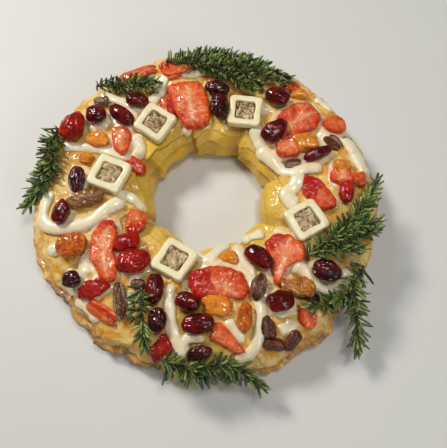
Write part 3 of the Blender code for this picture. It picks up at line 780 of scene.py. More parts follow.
def smooth_path(stops: list[Vector], step: float) -> list[Vector]:
    """Points a step apart on a smooth curve through the stops.

    Args:
        stops: What the curve passes through.
        step: About how far apart the points are.

    Returns:
        The points, both ends included.
    """
    ends = [2 * stops[0] - stops[1]] + list(stops) + [2 * stops[-1] - stops[-2]]
    fine = []
    for before, start, end, after in zip(ends, ends[1:], ends[2:], ends[3:], strict=False):
        for part in range(CURVE_PARTS):
            t = part / CURVE_PARTS
            fine.append(
                0.5 * (2 * start + (end - before) * t + (2 * before - 5 * start + 4 * end - after) * t**2
                       + (3 * start - before - 3 * end + after) * t**3)
            )
    fine.append(stops[-1])
    length = sum((b - a).length for a, b in zip(fine, fine[1:], strict=False))
    count = max(2, round(length / step))
    path, walked, goal = [fine[0]], 0.0, length / count
    for a, b in zip(fine, fine[1:], strict=False):
        span = (b - a).length
        while len(path) < count and walked + span >= goal * len(path):
            path.append(a.lerp(b, (goal * len(path) - walked) / span))
        walked += span
    path.append(fine[-1])
    return path


# ----- geometry recipes


class Recipe(NodeTree):
    """A Geometry Nodes tree with named inputs, which ends in plain geometry."""

    prefix = "GeometryNode"

    def __init__(self, name: str, inputs: dict[str, str]) -> None:
        """Starts a tree.

        Args:
            name: Name of the tree.
            inputs: Kind of socket by the input's name.
        """
        super().__init__(bpy.data.node_groups.new(name, "GeometryNodeTree"))
        sockets = self.tree.interface
        for key, kind in {"Geometry": "Geometry", **inputs}.items():
            sockets.new_socket(key, in_out="INPUT", socket_type="NodeSocket" + kind)
        sockets.new_socket("Geometry", in_out="OUTPUT", socket_type="NodeSocketGeometry")
        self.given = self.tree.nodes.new("NodeGroupInput").outputs
        self.end = self.tree.nodes.new("NodeGroupOutput").inputs[0]

    def vector(self, operation: str, first: Any, second: Any = (0.0, 0.0, 0.0)) -> Socket:
        """One operation on vectors, whose result is a vector or, for a dot product, a number."""
        made = self.add("ShaderNodeVectorMath", {"operation": operation}, i0=first, i1=second)
        return made.outputs[1 if operation == "DOT_PRODUCT" else 0]

    def scaled(self, vector: Any, amount: Any) -> Socket:
        """A vector made longer or shorter."""
        return self.take("ShaderNodeVectorMath", {"operation": "SCALE"}, i0=vector, i3=amount)

    def combined(self, x: Any, y: Any, z: Any) -> Socket:
        """A vector from its three parts."""
        return self.take("ShaderNodeCombineXYZ", X=x, Y=y, Z=z)

    def chance(self, low: float, high: float, seed: int) -> Socket:
        """A random number for each element, from a fixed seed beside the recipe's own."""
        own = self.plus(self.given["Seed"], float(seed))
        made = self.add("FunctionNodeRandomValue", {"data_type": "FLOAT"}, i2=low, i3=high, i8=own)
        return made.outputs[1]

    def shape(self, name: str) -> Socket:
        """Geometry of the object that an input gives."""
        return self.add("ObjectInfo", Object=self.given[name]).outputs["Geometry"]

    def store(self, geometry: Any, domain: str, name: str, value: Any) -> Socket:
        """Geometry with a number stored on each of its elements."""
        settings = {"data_type": "FLOAT", "domain": domain}
        return self.take("StoreNamedAttribute", settings, Geometry=geometry, Name=name, Value=value)

    def close(self, *parts: Socket) -> None:
        """Ends the tree in real geometry of all its parts, with the finish given."""
        whole = self.add("JoinGeometry")
        for part in parts:
            self.tree.links.new(part, whole.inputs[0])
        real = self.take("RealizeInstances", Geometry=whole.outputs[0])
        smooth = self.take("SetShadeSmooth", Geometry=real)
        self.feed(self.end, self.take("SetMaterial", Geometry=smooth, Material=self.given["Finish"]))

    def run(
        self, name: str, values: dict[str, Any], after: tuple[tuple[str, dict[str, Any]], ...] = ()
    ) -> Piece:
        """Runs the recipe into a plain mesh object.

        Args:
            name: Name of the object.
            values: The recipe's inputs by name.
            after: Kind and settings of each modifier that follows it.

        Returns:
            The linked object, with no modifier left on it.
        """
        obj = link(name, bpy.data.meshes.new(name + "_host"))
        modifier = obj.modifiers.new("recipe", "NODES")
        modifier.node_group = self.tree
        for item in self.tree.interface.items_tree:
            if item.in_out == "INPUT" and item.name in values:
                modifier[item.identifier] = values[item.name]
        for kind, settings in after:
            extra = obj.modifiers.new(kind.lower(), kind)
            for key, value in settings.items():
                setattr(extra, key, value)
        mesh = evaluated_mesh(obj)
        obj.modifiers.clear()
        obj.data = mesh
        mesh.name = name
        return obj


def path_object(name: str, paths: list[list[Vector]], widths: list[list[float]]) -> Piece:
    """A hidden curve of several open runs.

    Args:
        name: Name of the object.
        paths: Stations of each run, in millimetres about the ring's axis.
        widths: Radius at each station.

    Returns:
        The linked curve object, in metres in the shared frame.
    """
    curve = bpy.data.curves.new(name, "CURVE")
    curve.dimensions = "3D"
    for path, width in zip(paths, widths, strict=True):
        spline = curve.splines.new("POLY")
        spline.points.add(len(path) - 1)
        places = to_shared(np.array([tuple(point) for point in path]))
        spline.points.foreach_set("co", np.c_[places, np.ones(len(path))].ravel())
        spline.points.foreach_set("radius", np.array(width, float))
    return link(name, curve, hidden=True)


def drop(*objects: Piece) -> None:
    """Removes helpers that are no longer wanted."""
    for obj in objects:
        bpy.data.objects.remove(obj)


# ----- dough


@dataclass
class DoughRing:
    """The wrapped and baked ring, with the lapped sheets of its hole and its craggy foot."""

    crown: Crown
    finish: DoughFinish
    tuck: float = 4.5  # how far the skin turns in at the table
    foot_share: float = 0.11  # share of the way over that the straight foot takes
    columns: int = 640
    # rows of faces up to each share of the way over, closest where the foot and the hole have folds
    rows: tuple[tuple[float, int], ...] = ((0.11, 14), (0.25, 42), (0.6, 40), (1.0, 53))
    creases: tuple[float, ...] = (15, 66, 110, 158, 208, 258, 305, 334)
    crease_lean: float = 16.0
    crease_inner: float = 3.6
    crease_crown: float = 1.8
    crease_outer: float = 2.8
    outer_waves: Rounds = ((7, 0.5, 1.0), (11, 0.5, 0.3), (17, 0.3, 2.2))
    inner_waves: Rounds = ((3, 0.9, 2.0), (5, 0.7, 0.4), (9, 0.5, 1.7))
    top_waves: Rounds = ((4, 0.7, 0.9), (9, 0.5, 2.6), (13, 0.3, 0.2))
    rim_bulges: Rounds = (
        (226, -2.4, 3), (236, -2.4, 3), (243, 2.0, 4), (249, -2.8, 4), (260, -2.2, 4), (268, 1.6, 6),
        (294, 2.8, 7), (306, -1.0, 4), (314, 1.6, 4), (338, -1.6, 6), (348, 1.6, 6), (200, 1.0, 9),
    )
    way_over: float = 150.0  # length of the skin from foot to foot
    sheet_pitch: float = 16.0  # from one lapped edge to the next in the hole
    sheet_lap: float = 3.2
    sheet_rise: float = 5.0  # how many edges a sheet climbs in one turn
    sheet_swells: Rounds = ((152, 0.95, 45), (22, 0.45, 24), (300, 0.3, 26))  # where they stand out more
    wrap_pitch: float = 12.0  # from edge to edge up the rim's side
    wrap_lap: float = 1.9
    wrap_rise: float = 7.0
    foot_level: float = 8.5  # height of the ledge over the foot's crust
    foot_rises: Rounds = ((228, 8.0, 30), (308, 7.0, 22), (20, 4.0, 34))  # where it is higher
    ledge: float = 2.2  # how far the crust stands out
    ledge_swells: Rounds = ((228, 2.6, 32), (304, 1.8, 22), (20, 1.2, 30))
    side_top: float = 26.0  # height where the rim's side turns into the crown
    layer_pitch: float = 3.6
    bake: float = 0.42  # how browned the rim's side is
    bake_swells: Rounds = ((228, 0.10, 30), (10, 0.20, 40), (308, 0.14, 24))

    def swell(self, angle: Array, across: Array) -> Array:
        """Fullness of the wraps, 0 in a crease and 1 in full."""
        turn = (angle - self.crease_lean * (across + 1.0) / 2.0) % 360.0
        marks = np.array([self.creases[-1] - 360.0, *self.creases, self.creases[0] + 360.0])
        after = np.searchsorted(marks, turn, side="right")
        start, end = marks[after - 1], marks[np.minimum(after, len(marks) - 1)]
        share = (turn - start) / (end - start)
        return ramp(0.0, 0.4, share) * (1.0 - ramp(0.9, 1.0, share))

    def ripple(self, angle: Array, waves: Rounds) -> Array:
        """Sum of waves round the ring, each a count, an amount and a phase."""
        return sum(amount * np.sin(count * np.radians(angle) + phase) for count, amount, phase in waves)

    def near(self, angle: Array, marks: Rounds) -> Array:
        """Sum of smooth swellings round the ring, each an angle, an amount and a spread."""
        return sum(amount * streak((angle - at + 180) % 360 - 180, spread) for at, amount, spread in marks)

    def skin(self, angle: Array, run: Array) -> tuple[Array, Array]:
        """Points of the skin, and how full the wrap is at each.

        Args:
            angle: Degrees round the ring.
            run: 0 at the outer foot, over the crown, to 1 at the inner foot.

        Returns:
            The points, and the wraps' fullness.
        """
        form = self.crown
        outer = form.half_width + self.near(angle, self.rim_bulges) + self.ripple(angle, self.outer_waves)
        inner = form.half_width + self.ripple(angle, self.inner_waves)
        top = form.height + self.ripple(angle, self.top_waves)
        outside = run < 0.5
        side = np.where(outside, 1.0, -1.0)
        half = np.where(outside, outer, inner)
        power = np.where(outside, form.outer_shoulder, form.inner_shoulder)
        from_foot = np.minimum(run, 1.0 - run)
        low = from_foot < self.foot_share
        share = from_foot / self.foot_share
        sweep = np.pi / 2 * np.clip((from_foot - self.foot_share) / (0.5 - self.foot_share), 0.0, 1.0)
        out, up = np.maximum(np.cos(sweep), 0.0), np.sin(sweep)
        offset = np.where(low, half - self.tuck * (1.0 - share) ** 2, half * out ** (2.0 / power))
        rise = form.waist + (top - form.waist) * up ** (2.0 / power)
        height = np.where(low, form.waist * share, rise)
        across = side * np.minimum(offset / half, 1.0)
        edge = np.where(outside, self.crease_outer, self.crease_inner)
        full = self.swell(angle, across)
        depth = (self.crease_crown + (edge - self.crease_crown) * across**2) * (1.0 - full)
        offset = offset - depth * np.where(low, 1.0, out)
        height = height - depth * np.where(low, 0.0, up)
        radius = form.mid_radius + side * offset
        around = np.radians(angle)
        return np.stack([radius * np.cos(around), radius * np.sin(around), height], axis=-1), full

    def relief(self, points: Array, angle: Array, along: Array) -> dict[str, Array]:
        """How far each point stands out of the smooth skin, and its marks for the finish.

        Args:
            points: Points of the skin.
            angle: Degrees round the ring at each.
            along: 0 at the outer foot, over the crown, to 1 at the inner foot.

        Returns:
            The rise in millimetres, and how browned each point is and how much painted shadow it takes under
            a lapped edge, from 0 to 1.
        """
        height, outside, hole = points[:, 2], ramp(0.53, 0.47, along), ramp(0.56, 0.64, along)
        flat, turns = points * (1.0, 1.0, 0.0), angle / 360.0
        drift, wander = grain_of(flat, 32.0, 2, 4.0), grain_of(flat, 11.0, 2, 5.0)
        small = grain_of(points, 4.6, 3, 2.0) * (1.0 - 0.75 * hole)
        crinkle = np.maximum(1.0 - np.abs(grain_of(points, 9.0, 2, 6.0)) / 0.25, -1.0)
        texture = 0.55 * small + 0.45 * crinkle * (1.0 - 0.8 * hole)
        smoothed = 1.0 - 0.7 * outside * ramp(18.0, 8.0, height)
        rise = 1.5 * grain_of(points, 19.0, 2, 1.0) + texture * smoothed
        # lapped sheets, each standing out at its lower edge
        way = (1.0 - along) * self.way_over + 16.0 * drift + 3.0 * wander
        steps = (way / self.sheet_pitch + self.sheet_rise * turns) % 1.0
        climb = height + 6.0 * wander - 14.0 * drift
        bends = (climb / self.wrap_pitch + self.wrap_rise * turns) % 1.0
        shown = hole * ramp(0.5, 4.0, height) * (0.15 + self.near(angle, self.sheet_swells))
        wrapped = outside * ramp(31.0, 25.0, height) * ramp(4.0, 8.0, height)
        rise = rise + shown * self.sheet_lap * ((1.0 - steps) ** 1.6 - 0.35)
        rise = rise + wrapped * self.wrap_lap * ((1.0 - bends) ** 1.4 - 0.35)
        # fold is painted shadow, a dark line just under each lapped edge
        fold = shown * ramp(0.82, 0.97, steps) + wrapped * ramp(0.85, 0.97, bends)
        # the foot's crust, which stands out as a ledge
        seam = self.foot_level + 6.0 * drift + 1.0 * wander + self.near(angle, self.foot_rises)
        below = ramp(0.5, -0.5, height - seam) * outside
        depth = np.maximum(self.ledge + self.near(angle, self.ledge_swells) + 0.8 * wander, 0.0)
        fading = np.clip((self.side_top - height) / (self.side_top - seam), 0.0, 1.0)
        layers = np.abs(((height + 5.0 * drift + 1.5 * wander) / self.layer_pitch) % 1.0 - 0.5) * 2.0
        crag = 1.3 * grain_of(points * (0.5, 0.5, 1.5), 9.0, 2, 3.0) + 0.7 * layers
        rise = rise - outside * (1.0 - below) * depth * fading + below * (crag + 0.3)
        rim = outside * ramp(self.side_top, 12.0, height)
        bake = self.bake + self.near(angle, self.bake_swells)
        browned = below * (0.78 + 0.7 * wander - 0.45 * layers) + bake * rim * (0.6 + 1.4 * small)
        browned = browned + hole * 0.3 * ramp(5.0, 0.0, height) + 0.25 * wrapped * ramp(0.4, 0.0, bends)
        return {
            "rise": rise * ramp(-0.2, 1.6, height),
            "browned": np.clip(browned, 0.0, 1.0),
            "fold": np.clip(fold, 0.0, 1.0),
        }

    def build(self) -> Piece:
        """Lofts the skin round the axis, roughens it and closes it with a flat base."""
        turn = np.arange(self.columns) * 360.0 / self.columns
        start, pieces = 0.0, []
        for end, count in self.rows:
            pieces.append(np.linspace(start, end, count, endpoint=False))
            start = end
        run = np.concatenate([*pieces, [1.0]])
        angle, along = (grid.ravel() for grid in np.meshgrid(turn, run, indexing="ij"))
        points, full = self.skin(angle, along)
        obj = mesh_piece("dough", points, loft_faces(self.columns, len(run)))
        face_outward(obj.data)
        normals = mesh_normals(obj.data)
        shape = self.relief(points, angle, along)
        normals[points[:, 2] < 0.05, 2] = 0.0
        shaped = points + normals * shape["rise"][:, None]
        shaped[:, 2] = np.maximum(shaped[:, 2], 0.0)
        move_points(obj.data, to_shared(shaped))
        mark(obj.data, "browned", shape["browned"])
        mark(obj.data, "inner", ramp(0.55, 0.66, along))
        # the crease mark carries painted shade: the creases between wraps and the lapped edges' shadow lines
        mark(obj.data, "crease", np.clip(np.maximum(1.0 - full * 1.4, shape["fold"]), 0.0, 1.0))
        return settle(obj, self.finish.material(), ("dough_ring",))


# ----- icing


@dataclass
class PipedIcing:
    """Runs of icing piped over the dough, with flat pools where they spread and films round fruit."""

    finish: IcingFinish
    rise: float = 0.66  # height of a run as a share of half its width
    bed: float = 0.46  # how far it goes down into the dough, as the same share
    step: float = 1.6
    voxel: float = 0.86  # size of the grid that melts the runs together
    section: int = 18
    smoothing: int = 6  # rounds of smoothing once they are melted
    evening: int = 3  # stations on each side that a run's height is evened over
    runs: tuple[tuple[float, tuple[Place, ...]], ...] = (
        (8.5, ((143, 119), (139, 102), (135, 85))),
        (9.5, ((125, 125), (120, 104), (120, 93), (127, 87), (133, 84))),
        (9.0, ((168, 118), (167, 103), (165, 88), (164, 68), (156, 60), (147, 72))),
        (8.5, ((120, 95), (114, 104), (104, 101), (97, 105))), (7.0, ((118, 56), (111, 50))),
        (13.0, ((61, 66), (56, 61), (48, 57), (42, 54))),
        (11.0, ((46, 55), (41, 53), (32, 55), (21, 59), (17, 66), (17, 77), (17, 90))),
        (11.5, ((14, 72), (6, 66), (0, 60), (354, 64), (352, 70))),
        (7.0, ((49, 121), (45, 123), (40, 124))),
        (11.0, ((28, 116), (23, 118), (17, 120), (13, 122), (10, 122))),
        (8.0, ((34, 98), (31, 104), (27, 99))),
        (10.5, (
            (320, 84), (322, 94), (321, 103), (322, 110), (324, 116), (327, 120), (330, 121), (334, 117),
        )),
        (8.0, ((308, 48), (326, 55))), (8.5, ((261, 50), (274, 57), (286, 49), (296, 46))),
        (9.0, ((300, 49), (300, 64), (300, 73), (298, 86), (297, 101), (293, 116), (289, 124), (284, 126))),
        (8.5, ((283, 99), (285, 107), (288, 117))),
        (9.5, ((256, 79), (259, 90), (261, 99), (263, 108), (267, 118), (270, 122))),
        (7.5, ((267, 112), (275, 111))),
        (10.0, ((187, 116), (193, 121), (199, 122), (203, 113), (205, 99), (204, 86), (200, 73), (197, 62))),
        (8.0, ((190, 72), (195, 58), (207, 50))), (8.0, ((217, 97), (220, 106), (225, 108))),
        (9.0, ((207, 121), (212, 119))), (8.5, ((228, 124), (234, 121), (239, 124))),
        (7.5, ((238, 90), (243, 84))), (8.0, ((240, 96), (246, 106))),
    )
    # pools: place, length, width, turn
    pools: tuple[tuple[Place, float, float, float], ...] = (
        ((153, 100), 22, 16, 60), ((148, 82), 18, 14, 150), ((304, 118), 17, 12, 20),
        ((308, 104), 14, 12, 80), ((31, 97), 13, 10, 30), ((80, 56), 9, 6, 60), ((114, 54), 12, 6, 10),
        ((335, 77), 18, 12, 60), ((262, 52), 13, 10, 0), ((62, 82), 16, 10, 0), ((302, 92), 12, 10, 60),
        ((22, 66), 10, 9, 0), ((243, 103), 22, 9, 60), ((196, 104), 20, 14, 90), ((128, 112), 16, 12, 40),
        ((40, 108), 16, 9, 125), ((14, 97), 15, 9, 100), ((64, 96), 14, 9, 20), ((285, 82), 13, 8, 20),
        ((314, 84), 13, 8, 60), ((229, 112), 14, 8, 140), ((202, 106), 26, 13, 15),
    )
    pool_rise: float = 1.7
    # fruit that sits in a film of icing, and how far the film comes out round it
    skirts: tuple[tuple[str, tuple[int, ...]], ...] = (
        ("candied_slab", (2, 3, 4, 5, 8, 9, 11, 12, 13)), ("dark_cherry", (1, 2, 3, 7, 9, 10)),
        ("red_cherry", (2,)), ("wrinkled_cherry", (1, 5)),
    )
    skirt_margin: float = 3.2
    skirt_rise: float = 2.4
    blush_reach: float = 2.2  # how far the red of the fruit goes
    thin: tuple[float, float] = (1.7, 0.6)  # thickness where the dough starts to show, and where it is plain

    def stations(self, places: tuple[Place, ...], ground: Ground) -> list[Vector]:
        """Evened stations of a run on what lies under it.

        Args:
            places: Stops of the run.
            ground: What it lies on.

        Returns:
            The stations, a step apart.
        """
        path = smooth_path([Vector((*on_plan(place), 0.0)) for place in places], self.step)
        tops = np.array([ground.top(point.x, point.y) or 20.0 for point in path])
        window = 2 * self.evening + 1
        padded = np.pad(tops, self.evening, mode="edge")
        evened = np.convolve(padded, np.ones(window) / window, mode="valid")
        heights = np.maximum(evened, tops - 0.4)
        return [Vector((point.x, point.y, height)) for point, height in zip(path, heights, strict=True)]

    def swell(self, width: float, path: list[Vector], seed: float) -> list[float]:
        """Half width at each station, rounded off at both ends.

        Args:
            width: The run's width.
            path: Its stations.
            seed: Picks the noise.

        Returns:
            The half widths, in metres.
        """
        made = []
        for index, point in enumerate(path):
            from_end = min(index, len(path) - 1 - index) * self.step
            rounding = math.sqrt(max(1.0 - max(1.0 - from_end / (0.5 * width), 0.0) ** 2, 0.02))
            bulb = 1.0 + 0.12 * math.exp(-((from_end - 0.45 * width) / 3.0) ** 2)
            sway = 1.0 + 0.22 * noise.noise(point / 9.0 + Vector((seed, 0.0, 0.0)))
            made.append(0.5 * width * rounding * bulb * sway * MM)
        return made

    def recipe(self) -> Recipe:
        """Geometry Nodes tree that draws a rounded section along each run, upright on the dough."""
        made = Recipe(
            "piped_runs",
            {"Path": "Object", "Ground": "Object", "Pools": "Object", "Rise": "Float", "Bed": "Float",
             "Finish": "Material"},
        )
        rise, bed = made.given["Rise"], made.given["Bed"]
        upright = made.take(
            "SampleNearestSurface", {"data_type": "FLOAT_VECTOR"}, Mesh=made.shape("Ground"),
            Value=made.take("InputNormal"),
        )
        turned = made.take("SetCurveNormal", {"mode": "FREE"}, Curve=made.shape("Path"), Normal=upright)
        tall = made.times(made.plus(rise, bed), 0.5)
        lift = made.times(made.minus(rise, bed), 0.5)
        section = made.take(
            "Transform", Geometry=made.take("CurvePrimitiveCircle", Resolution=self.section, Radius=1.0),
            Translation=made.combined(lift, 0.0, 0.0), Scale=made.combined(tall, 1.0, 1.0),
        )
        swept = made.take(
            "CurveToMesh", Curve=turned, Profile_Curve=section, Fill_Caps=True,
            Scale=made.take("InputRadius"),
        )
        made.close(swept, made.shape("Pools"))
        return made

    def skirt(self, node: str) -> tuple[Place, float, float, float]:
        """Place, length, width and turn of the film round a piece of fruit."""
        points = cad_points(node)[:, :2]
        centre = points.mean(axis=0)
        off = points - centre
        _, axes = np.linalg.eigh(off.T @ off)
        width, length = np.ptp(off @ axes, axis=0) + 2 * self.skirt_margin
        place = math.degrees(math.atan2(centre[1], centre[0])), math.hypot(*centre)
        return place, length, width, math.degrees(math.atan2(axes[1, 1], axes[0, 1]))

    def pool_object(self, crown: Crown, ground: Ground) -> Piece:
        """Low rounded pools and films, as one hidden mesh."""
        bm = bmesh.new()
        skirts = [self.skirt(f"{kind}_{number:02d}") for kind, numbers in self.skirts for number in numbers]
        for index, (place, length, width, turn) in enumerate([*self.pools, *skirts]):
            tall = self.pool_rise if index < len(self.pools) else self.skirt_rise
            made = bmesh.ops.create_uvsphere(bm, u_segments=28, v_segments=12, radius=1.0)["verts"]
            x, y = on_plan(place)
            around = math.radians(turn)
            for vert in made:
                flat = Vector((vert.co.x * length / 2, vert.co.y * width / 2, 0.0))
                wave = 1.0 + 0.5 * noise.noise(vert.co * 1.4 + Vector((index * 3.1, 0.0, 0.0)))
                flat = Matrix.Rotation(around, 3, "Z") @ flat * wave
                spot, normal = crown.point(x + flat.x, y + flat.y, 0.0)
                top = ground.top(spot.x, spot.y)
                spot.z = spot.z if top is None else top
                vert.co = Vector(to_shared(spot + normal * (vert.co.z * tall - 0.3)))
        mesh = bpy.data.meshes.new("icing_pools")
        bm.to_mesh(mesh)
        bm.free()
        return link("icing_pools", mesh, hidden=True)

    def build(self, dough: Piece, crown: Crown, ground: Ground, red: Ground) -> Piece:
        """Sweeps the runs, melts them into one mesh with the pools and marks their blush.

        Args:
            dough: The dough piece that they lie on.
            crown: The ring's smooth form.
            ground: Search tree of the dough.
            red: Search trees of the red fruit.

        Returns:
            The icing piece.
        """
        paths = [self.stations(places, ground) for _, places in self.runs]
        widths = [
            self.swell(width, path, 1.7 * index)
            for index, ((width, _), path) in enumerate(zip(self.runs, paths, strict=True))
        ]
        path = path_object("icing_paths", paths, widths)
        pools = self.pool_object(crown, ground)
        finish = self.finish.material()
        obj = self.recipe().run(
            "icing",
            {"Path": path, "Ground": dough, "Pools": pools, "Rise": self.rise, "Bed": self.bed,
             "Finish": finish},
            (
                ("REMESH", {"mode": "VOXEL", "voxel_size": self.voxel * MM}),
                ("SMOOTH", {"factor": 0.5, "iterations": self.smoothing}),
            ),
        )
        drop(path, pools)
        points = to_ring(mesh_points(obj.data))
        mark(obj.data, "stain", np.exp(-red.distances(points) / self.blush_reach))
        mark(obj.data, "thin", ramp(*self.thin, ground.distances(points)))
        return settle(obj, finish)


# ----- fruit


@dataclass
class FruitCopy:
    """A CAD fruit's own mesh made smooth, with its points in millimetres and its axes."""

    node: str  # CAD node that it is made from
    crown: Crown
    swell: float = 1.05  # growth about its middle, which makes up for what smoothing takes off
    crisp: bool = False  # whether its faces are split flat once first, which keeps its corners
    levels: int = 3  # how often its faces are split
    bins: int = 40  # how many directions its outline is measured in

    def __post_init__(self) -> None:
        """Reads, smooths and measures the node."""
        bm = bmesh.new()
        bm.from_mesh(cad_mesh(self.node))
        bmesh.ops.remove_doubles(bm, verts=bm.verts, dist=2e-6)
        bmesh.ops.join_triangles(bm, faces=bm.faces, angle_face_threshold=0.9, angle_shape_threshold=1.2)
        self.object = link(self.node + "_dressed", bpy.data.meshes.new(self.node + "_dressed"))
        bm.to_mesh(self.object.data)
        bm.free()
        for kind, levels in (("SIMPLE", int(self.crisp)), ("CATMULL_CLARK", self.levels)):
            split = self.object.modifiers.new(kind.lower(), "SUBSURF")
            split.subdivision_type = kind
            split.levels = split.render_levels = levels
        mesh = evaluated_mesh(self.object)
        self.object.modifiers.clear()
        self.object.data = mesh
        points = to_ring(mesh_points(mesh))
        self.centre = points.mean(axis=0)
        self.points = self.centre + (points - self.centre) * self.swell
        self.off = self.points - self.centre
        self.normals = mesh_normals(mesh)
        self.long = np.linalg.eigh(self.off.T @ self.off)[1][:, 2]
        self.up = np.array(self.crown.point(self.centre[0], self.centre[1], 0.0)[1])

    def planar(self) -> tuple[Array, Array, Array]:
        """Each point's X and Y seen from over the crown, and its share of the outline's reach."""
        east = unit(np.array((1.0, 0.0, 0.0)) - self.up * self.up[0])
        x, y = self.off @ east, self.off @ np.cross(self.up, east)
        spin, far = np.arctan2(y, x), np.hypot(x, y)
        most = np.zeros(self.bins)
        np.maximum.at(most, ((spin + np.pi) / (2 * np.pi) * self.bins).astype(int) % self.bins, far)
        middle = (np.arange(-1, self.bins + 1) + 0.5) / self.bins * 2 * np.pi - np.pi
        reach = np.interp(spin, middle, np.concatenate([most[-1:], most, most[:1]]))
        return x, y, np.clip(far / np.maximum(reach, 1e-6), 0.0, 1.0)

    def spun(self) -> Array:
        """Coordinates of each point round the long axis, with its share along it from -1 to 1."""
        side = unit(np.cross(self.up, self.long))
        along = self.off @ self.long
        spin = np.arctan2(self.off @ side, self.off @ np.cross(self.long, side))
        return wound(spin, along / np.abs(along).max())

    def close(self, rise: Array, marks: dict[str, Array], finish: Material, slot: str) -> Piece:
        """Roughens the mesh along its normals, stores its marks and settles it.

        Args:
            rise: How far each point stands out, in millimetres.
            marks: Values that the finish reads, by name.
            finish: The material.
            slot: Not used.

        Returns:
            The finished piece.
        """
        move_points(self.object.data, to_shared(self.points + self.normals * rise[:, None]))
        for name, values in marks.items():
            mark(self.object.data, name, values)
        return settle(self.object, finish, (self.node,))


@dataclass(frozen=True)
class SliceLook:
    """How one slab looks."""

    tone: Tone
    core: float  # direction of its pale core, in degrees from the ring's +X
    vein: float  # how strong the core and its side veins are
    skin_side: float  # side that its redder skin is on, in degrees from the ring's +X
    skin_from: float  # where the skin starts towards that side, from -1 to 1
    skin: float = 1.0  # how strong the skin is


def veins(look: SliceLook, x: Array, y: Array, rim: Array, seed: float) -> tuple[Array, Array]:
    """Pattern of a fruit slice: a pale forked core with fine veins that leave it sideways.

    Args:
        look: The slice's look.
        x: First coordinate in the slice's plane, in millimetres.
        y: Second coordinate.
        rim: Share of the outline's reach.
        seed: Picks the noise.

    Returns:
        Coordinates that follow the veins, and how pale each point is.
    """
    turn = math.radians(look.core)
    along, aside = x * math.cos(turn) + y * math.sin(turn), y * math.cos(turn) - x * math.sin(turn)
    flat = np.stack([x, y, 0 * x], axis=-1)
    aside = aside + 2.4 * grain_of(flat, 9.0, 2, seed)
    half = 0.5 * np.abs(along).max()
    inner = np.clip(along, -half, half)
    ahead = along - inner
    far = np.maximum(np.hypot(ahead, aside), 1e-6)
    fan = np.stack([inner / 2.6 + 2.0 * ahead / far, 2.0 * aside / far, far / 15.0], axis=-1)
    fine = streak(grain_of(fan, 1.0, 3, seed), 0.085) * ramp(1.0, 0.6, rim)
    fine = fine * ramp(-0.35, 0.1, grain_of(flat, 6.0, 2, seed + 2.0))
    core = streak(aside, 1.15) * ramp(1.15, 0.7, np.abs(along) / (1.5 * half))
    fork = streak(aside - 0.55 * np.maximum(along + 1.0, 0.0), 0.7) * ramp(0.95, 0.6, rim)
    core = np.maximum(core, fork * (along > -1.0) * 0.8)
    haze = streak(aside, 5.5) * ramp(0.95, 0.35, rim) * 0.38
    return fan, look.vein * np.clip(core + 0.95 * fine + haze, 0.0, 1.0)


@dataclass
class CandiedSlabs:
    """The flat slices of candied fruit."""

    crown: Crown
    looks: tuple[SliceLook, ...] = tuple(SliceLook(*look) for look in (
        (Tone.CORAL, 102, 1.0, 275, 0.5, 0.6), (Tone.VERMILION, 35, 0.9, 215, 0.45, 0.5),
        (Tone.CORAL, 70, 0.8, 130, 0.35, 0.9), (Tone.VERMILION, 150, 0.85, 185, 0.15),
        (Tone.CORAL, 100, 1.0, 85, 0.45, 0.9), (Tone.ORANGE, 150, 0.3, 320, 0.5, 0.6),
        (Tone.VERMILION, 140, 0.3, 130, -0.1), (Tone.ORANGE, 100, 0.8, 60, 0.5, 0.6),
        (Tone.DEEP, 40, 0.1, 200, 0.3, 0.7), (Tone.DEEP, 90, 0.25, 90, 0.3, 0.6),
        (Tone.ORANGE, 45, 0.7, 250, 0.4, 0.6), (Tone.ORANGE, 160, 0.3, 60, 0.4, 0.6),
        (Tone.CORAL, 60, 0.9, 20, 0.5, 0.5), (Tone.ORANGE, 100, 0.5, 290, 0.0, 0.9),
        (Tone.ORANGE, 100, 0.4, 190, 0.3, 0.6),
    ))
    finishes: dict[Tone, Material] = field(default_factory=dict)

    def finish(self, tone: Tone) -> Material:
        """The material of a tone, built once."""
        if tone not in self.finishes:
            self.finishes[tone] = CandiedFinish(tone).material()
        return self.finishes[tone]

    def build(self) -> list[Piece]:
        """Dresses every slab."""
        return [self.slice(index, look) for index, look in enumerate(self.looks, 1)]

    def slice(self, index: int, look: SliceLook) -> Piece:
        """Dresses one slab with uneven faces, veins and a skin on one side.

        Args:
            index: Its number.
            look: How it looks.

        Returns:
            The finished piece.
        """
        copy = FruitCopy(f"candied_slab_{index:02d}", self.crown, crisp=True)
        x, y, rim = copy.planar()
        side = math.radians(look.skin_side)
        towards = x * math.cos(side) + y * math.sin(side)
        towards = towards / towards.max() + 0.35 * grain_of(copy.points, 7.0, 2, index + 3.0)
        skin = ramp(look.skin_from, look.skin_from + 0.3, towards) * look.skin
        skin = np.maximum(skin, 0.4 * ramp(0.8, 1.0, rim))
        fan, pale = veins(look, x, y, rim, 1.7 * index)
        rise = 1.3 * grain_of(copy.points, 6.5, 2, index) + 0.28 * grain_of(copy.points, 2.1, 2, index + 0.5)
        rise = rise + 0.3 * pale - 0.2
        marks = {"grain": fan + (3.7 * index, 0.0, 0.0), "pale": pale * ramp(1.0, 0.2, skin), "skin": skin}
        return copy.close(rise, marks, self.finish(look.tone), "candied")


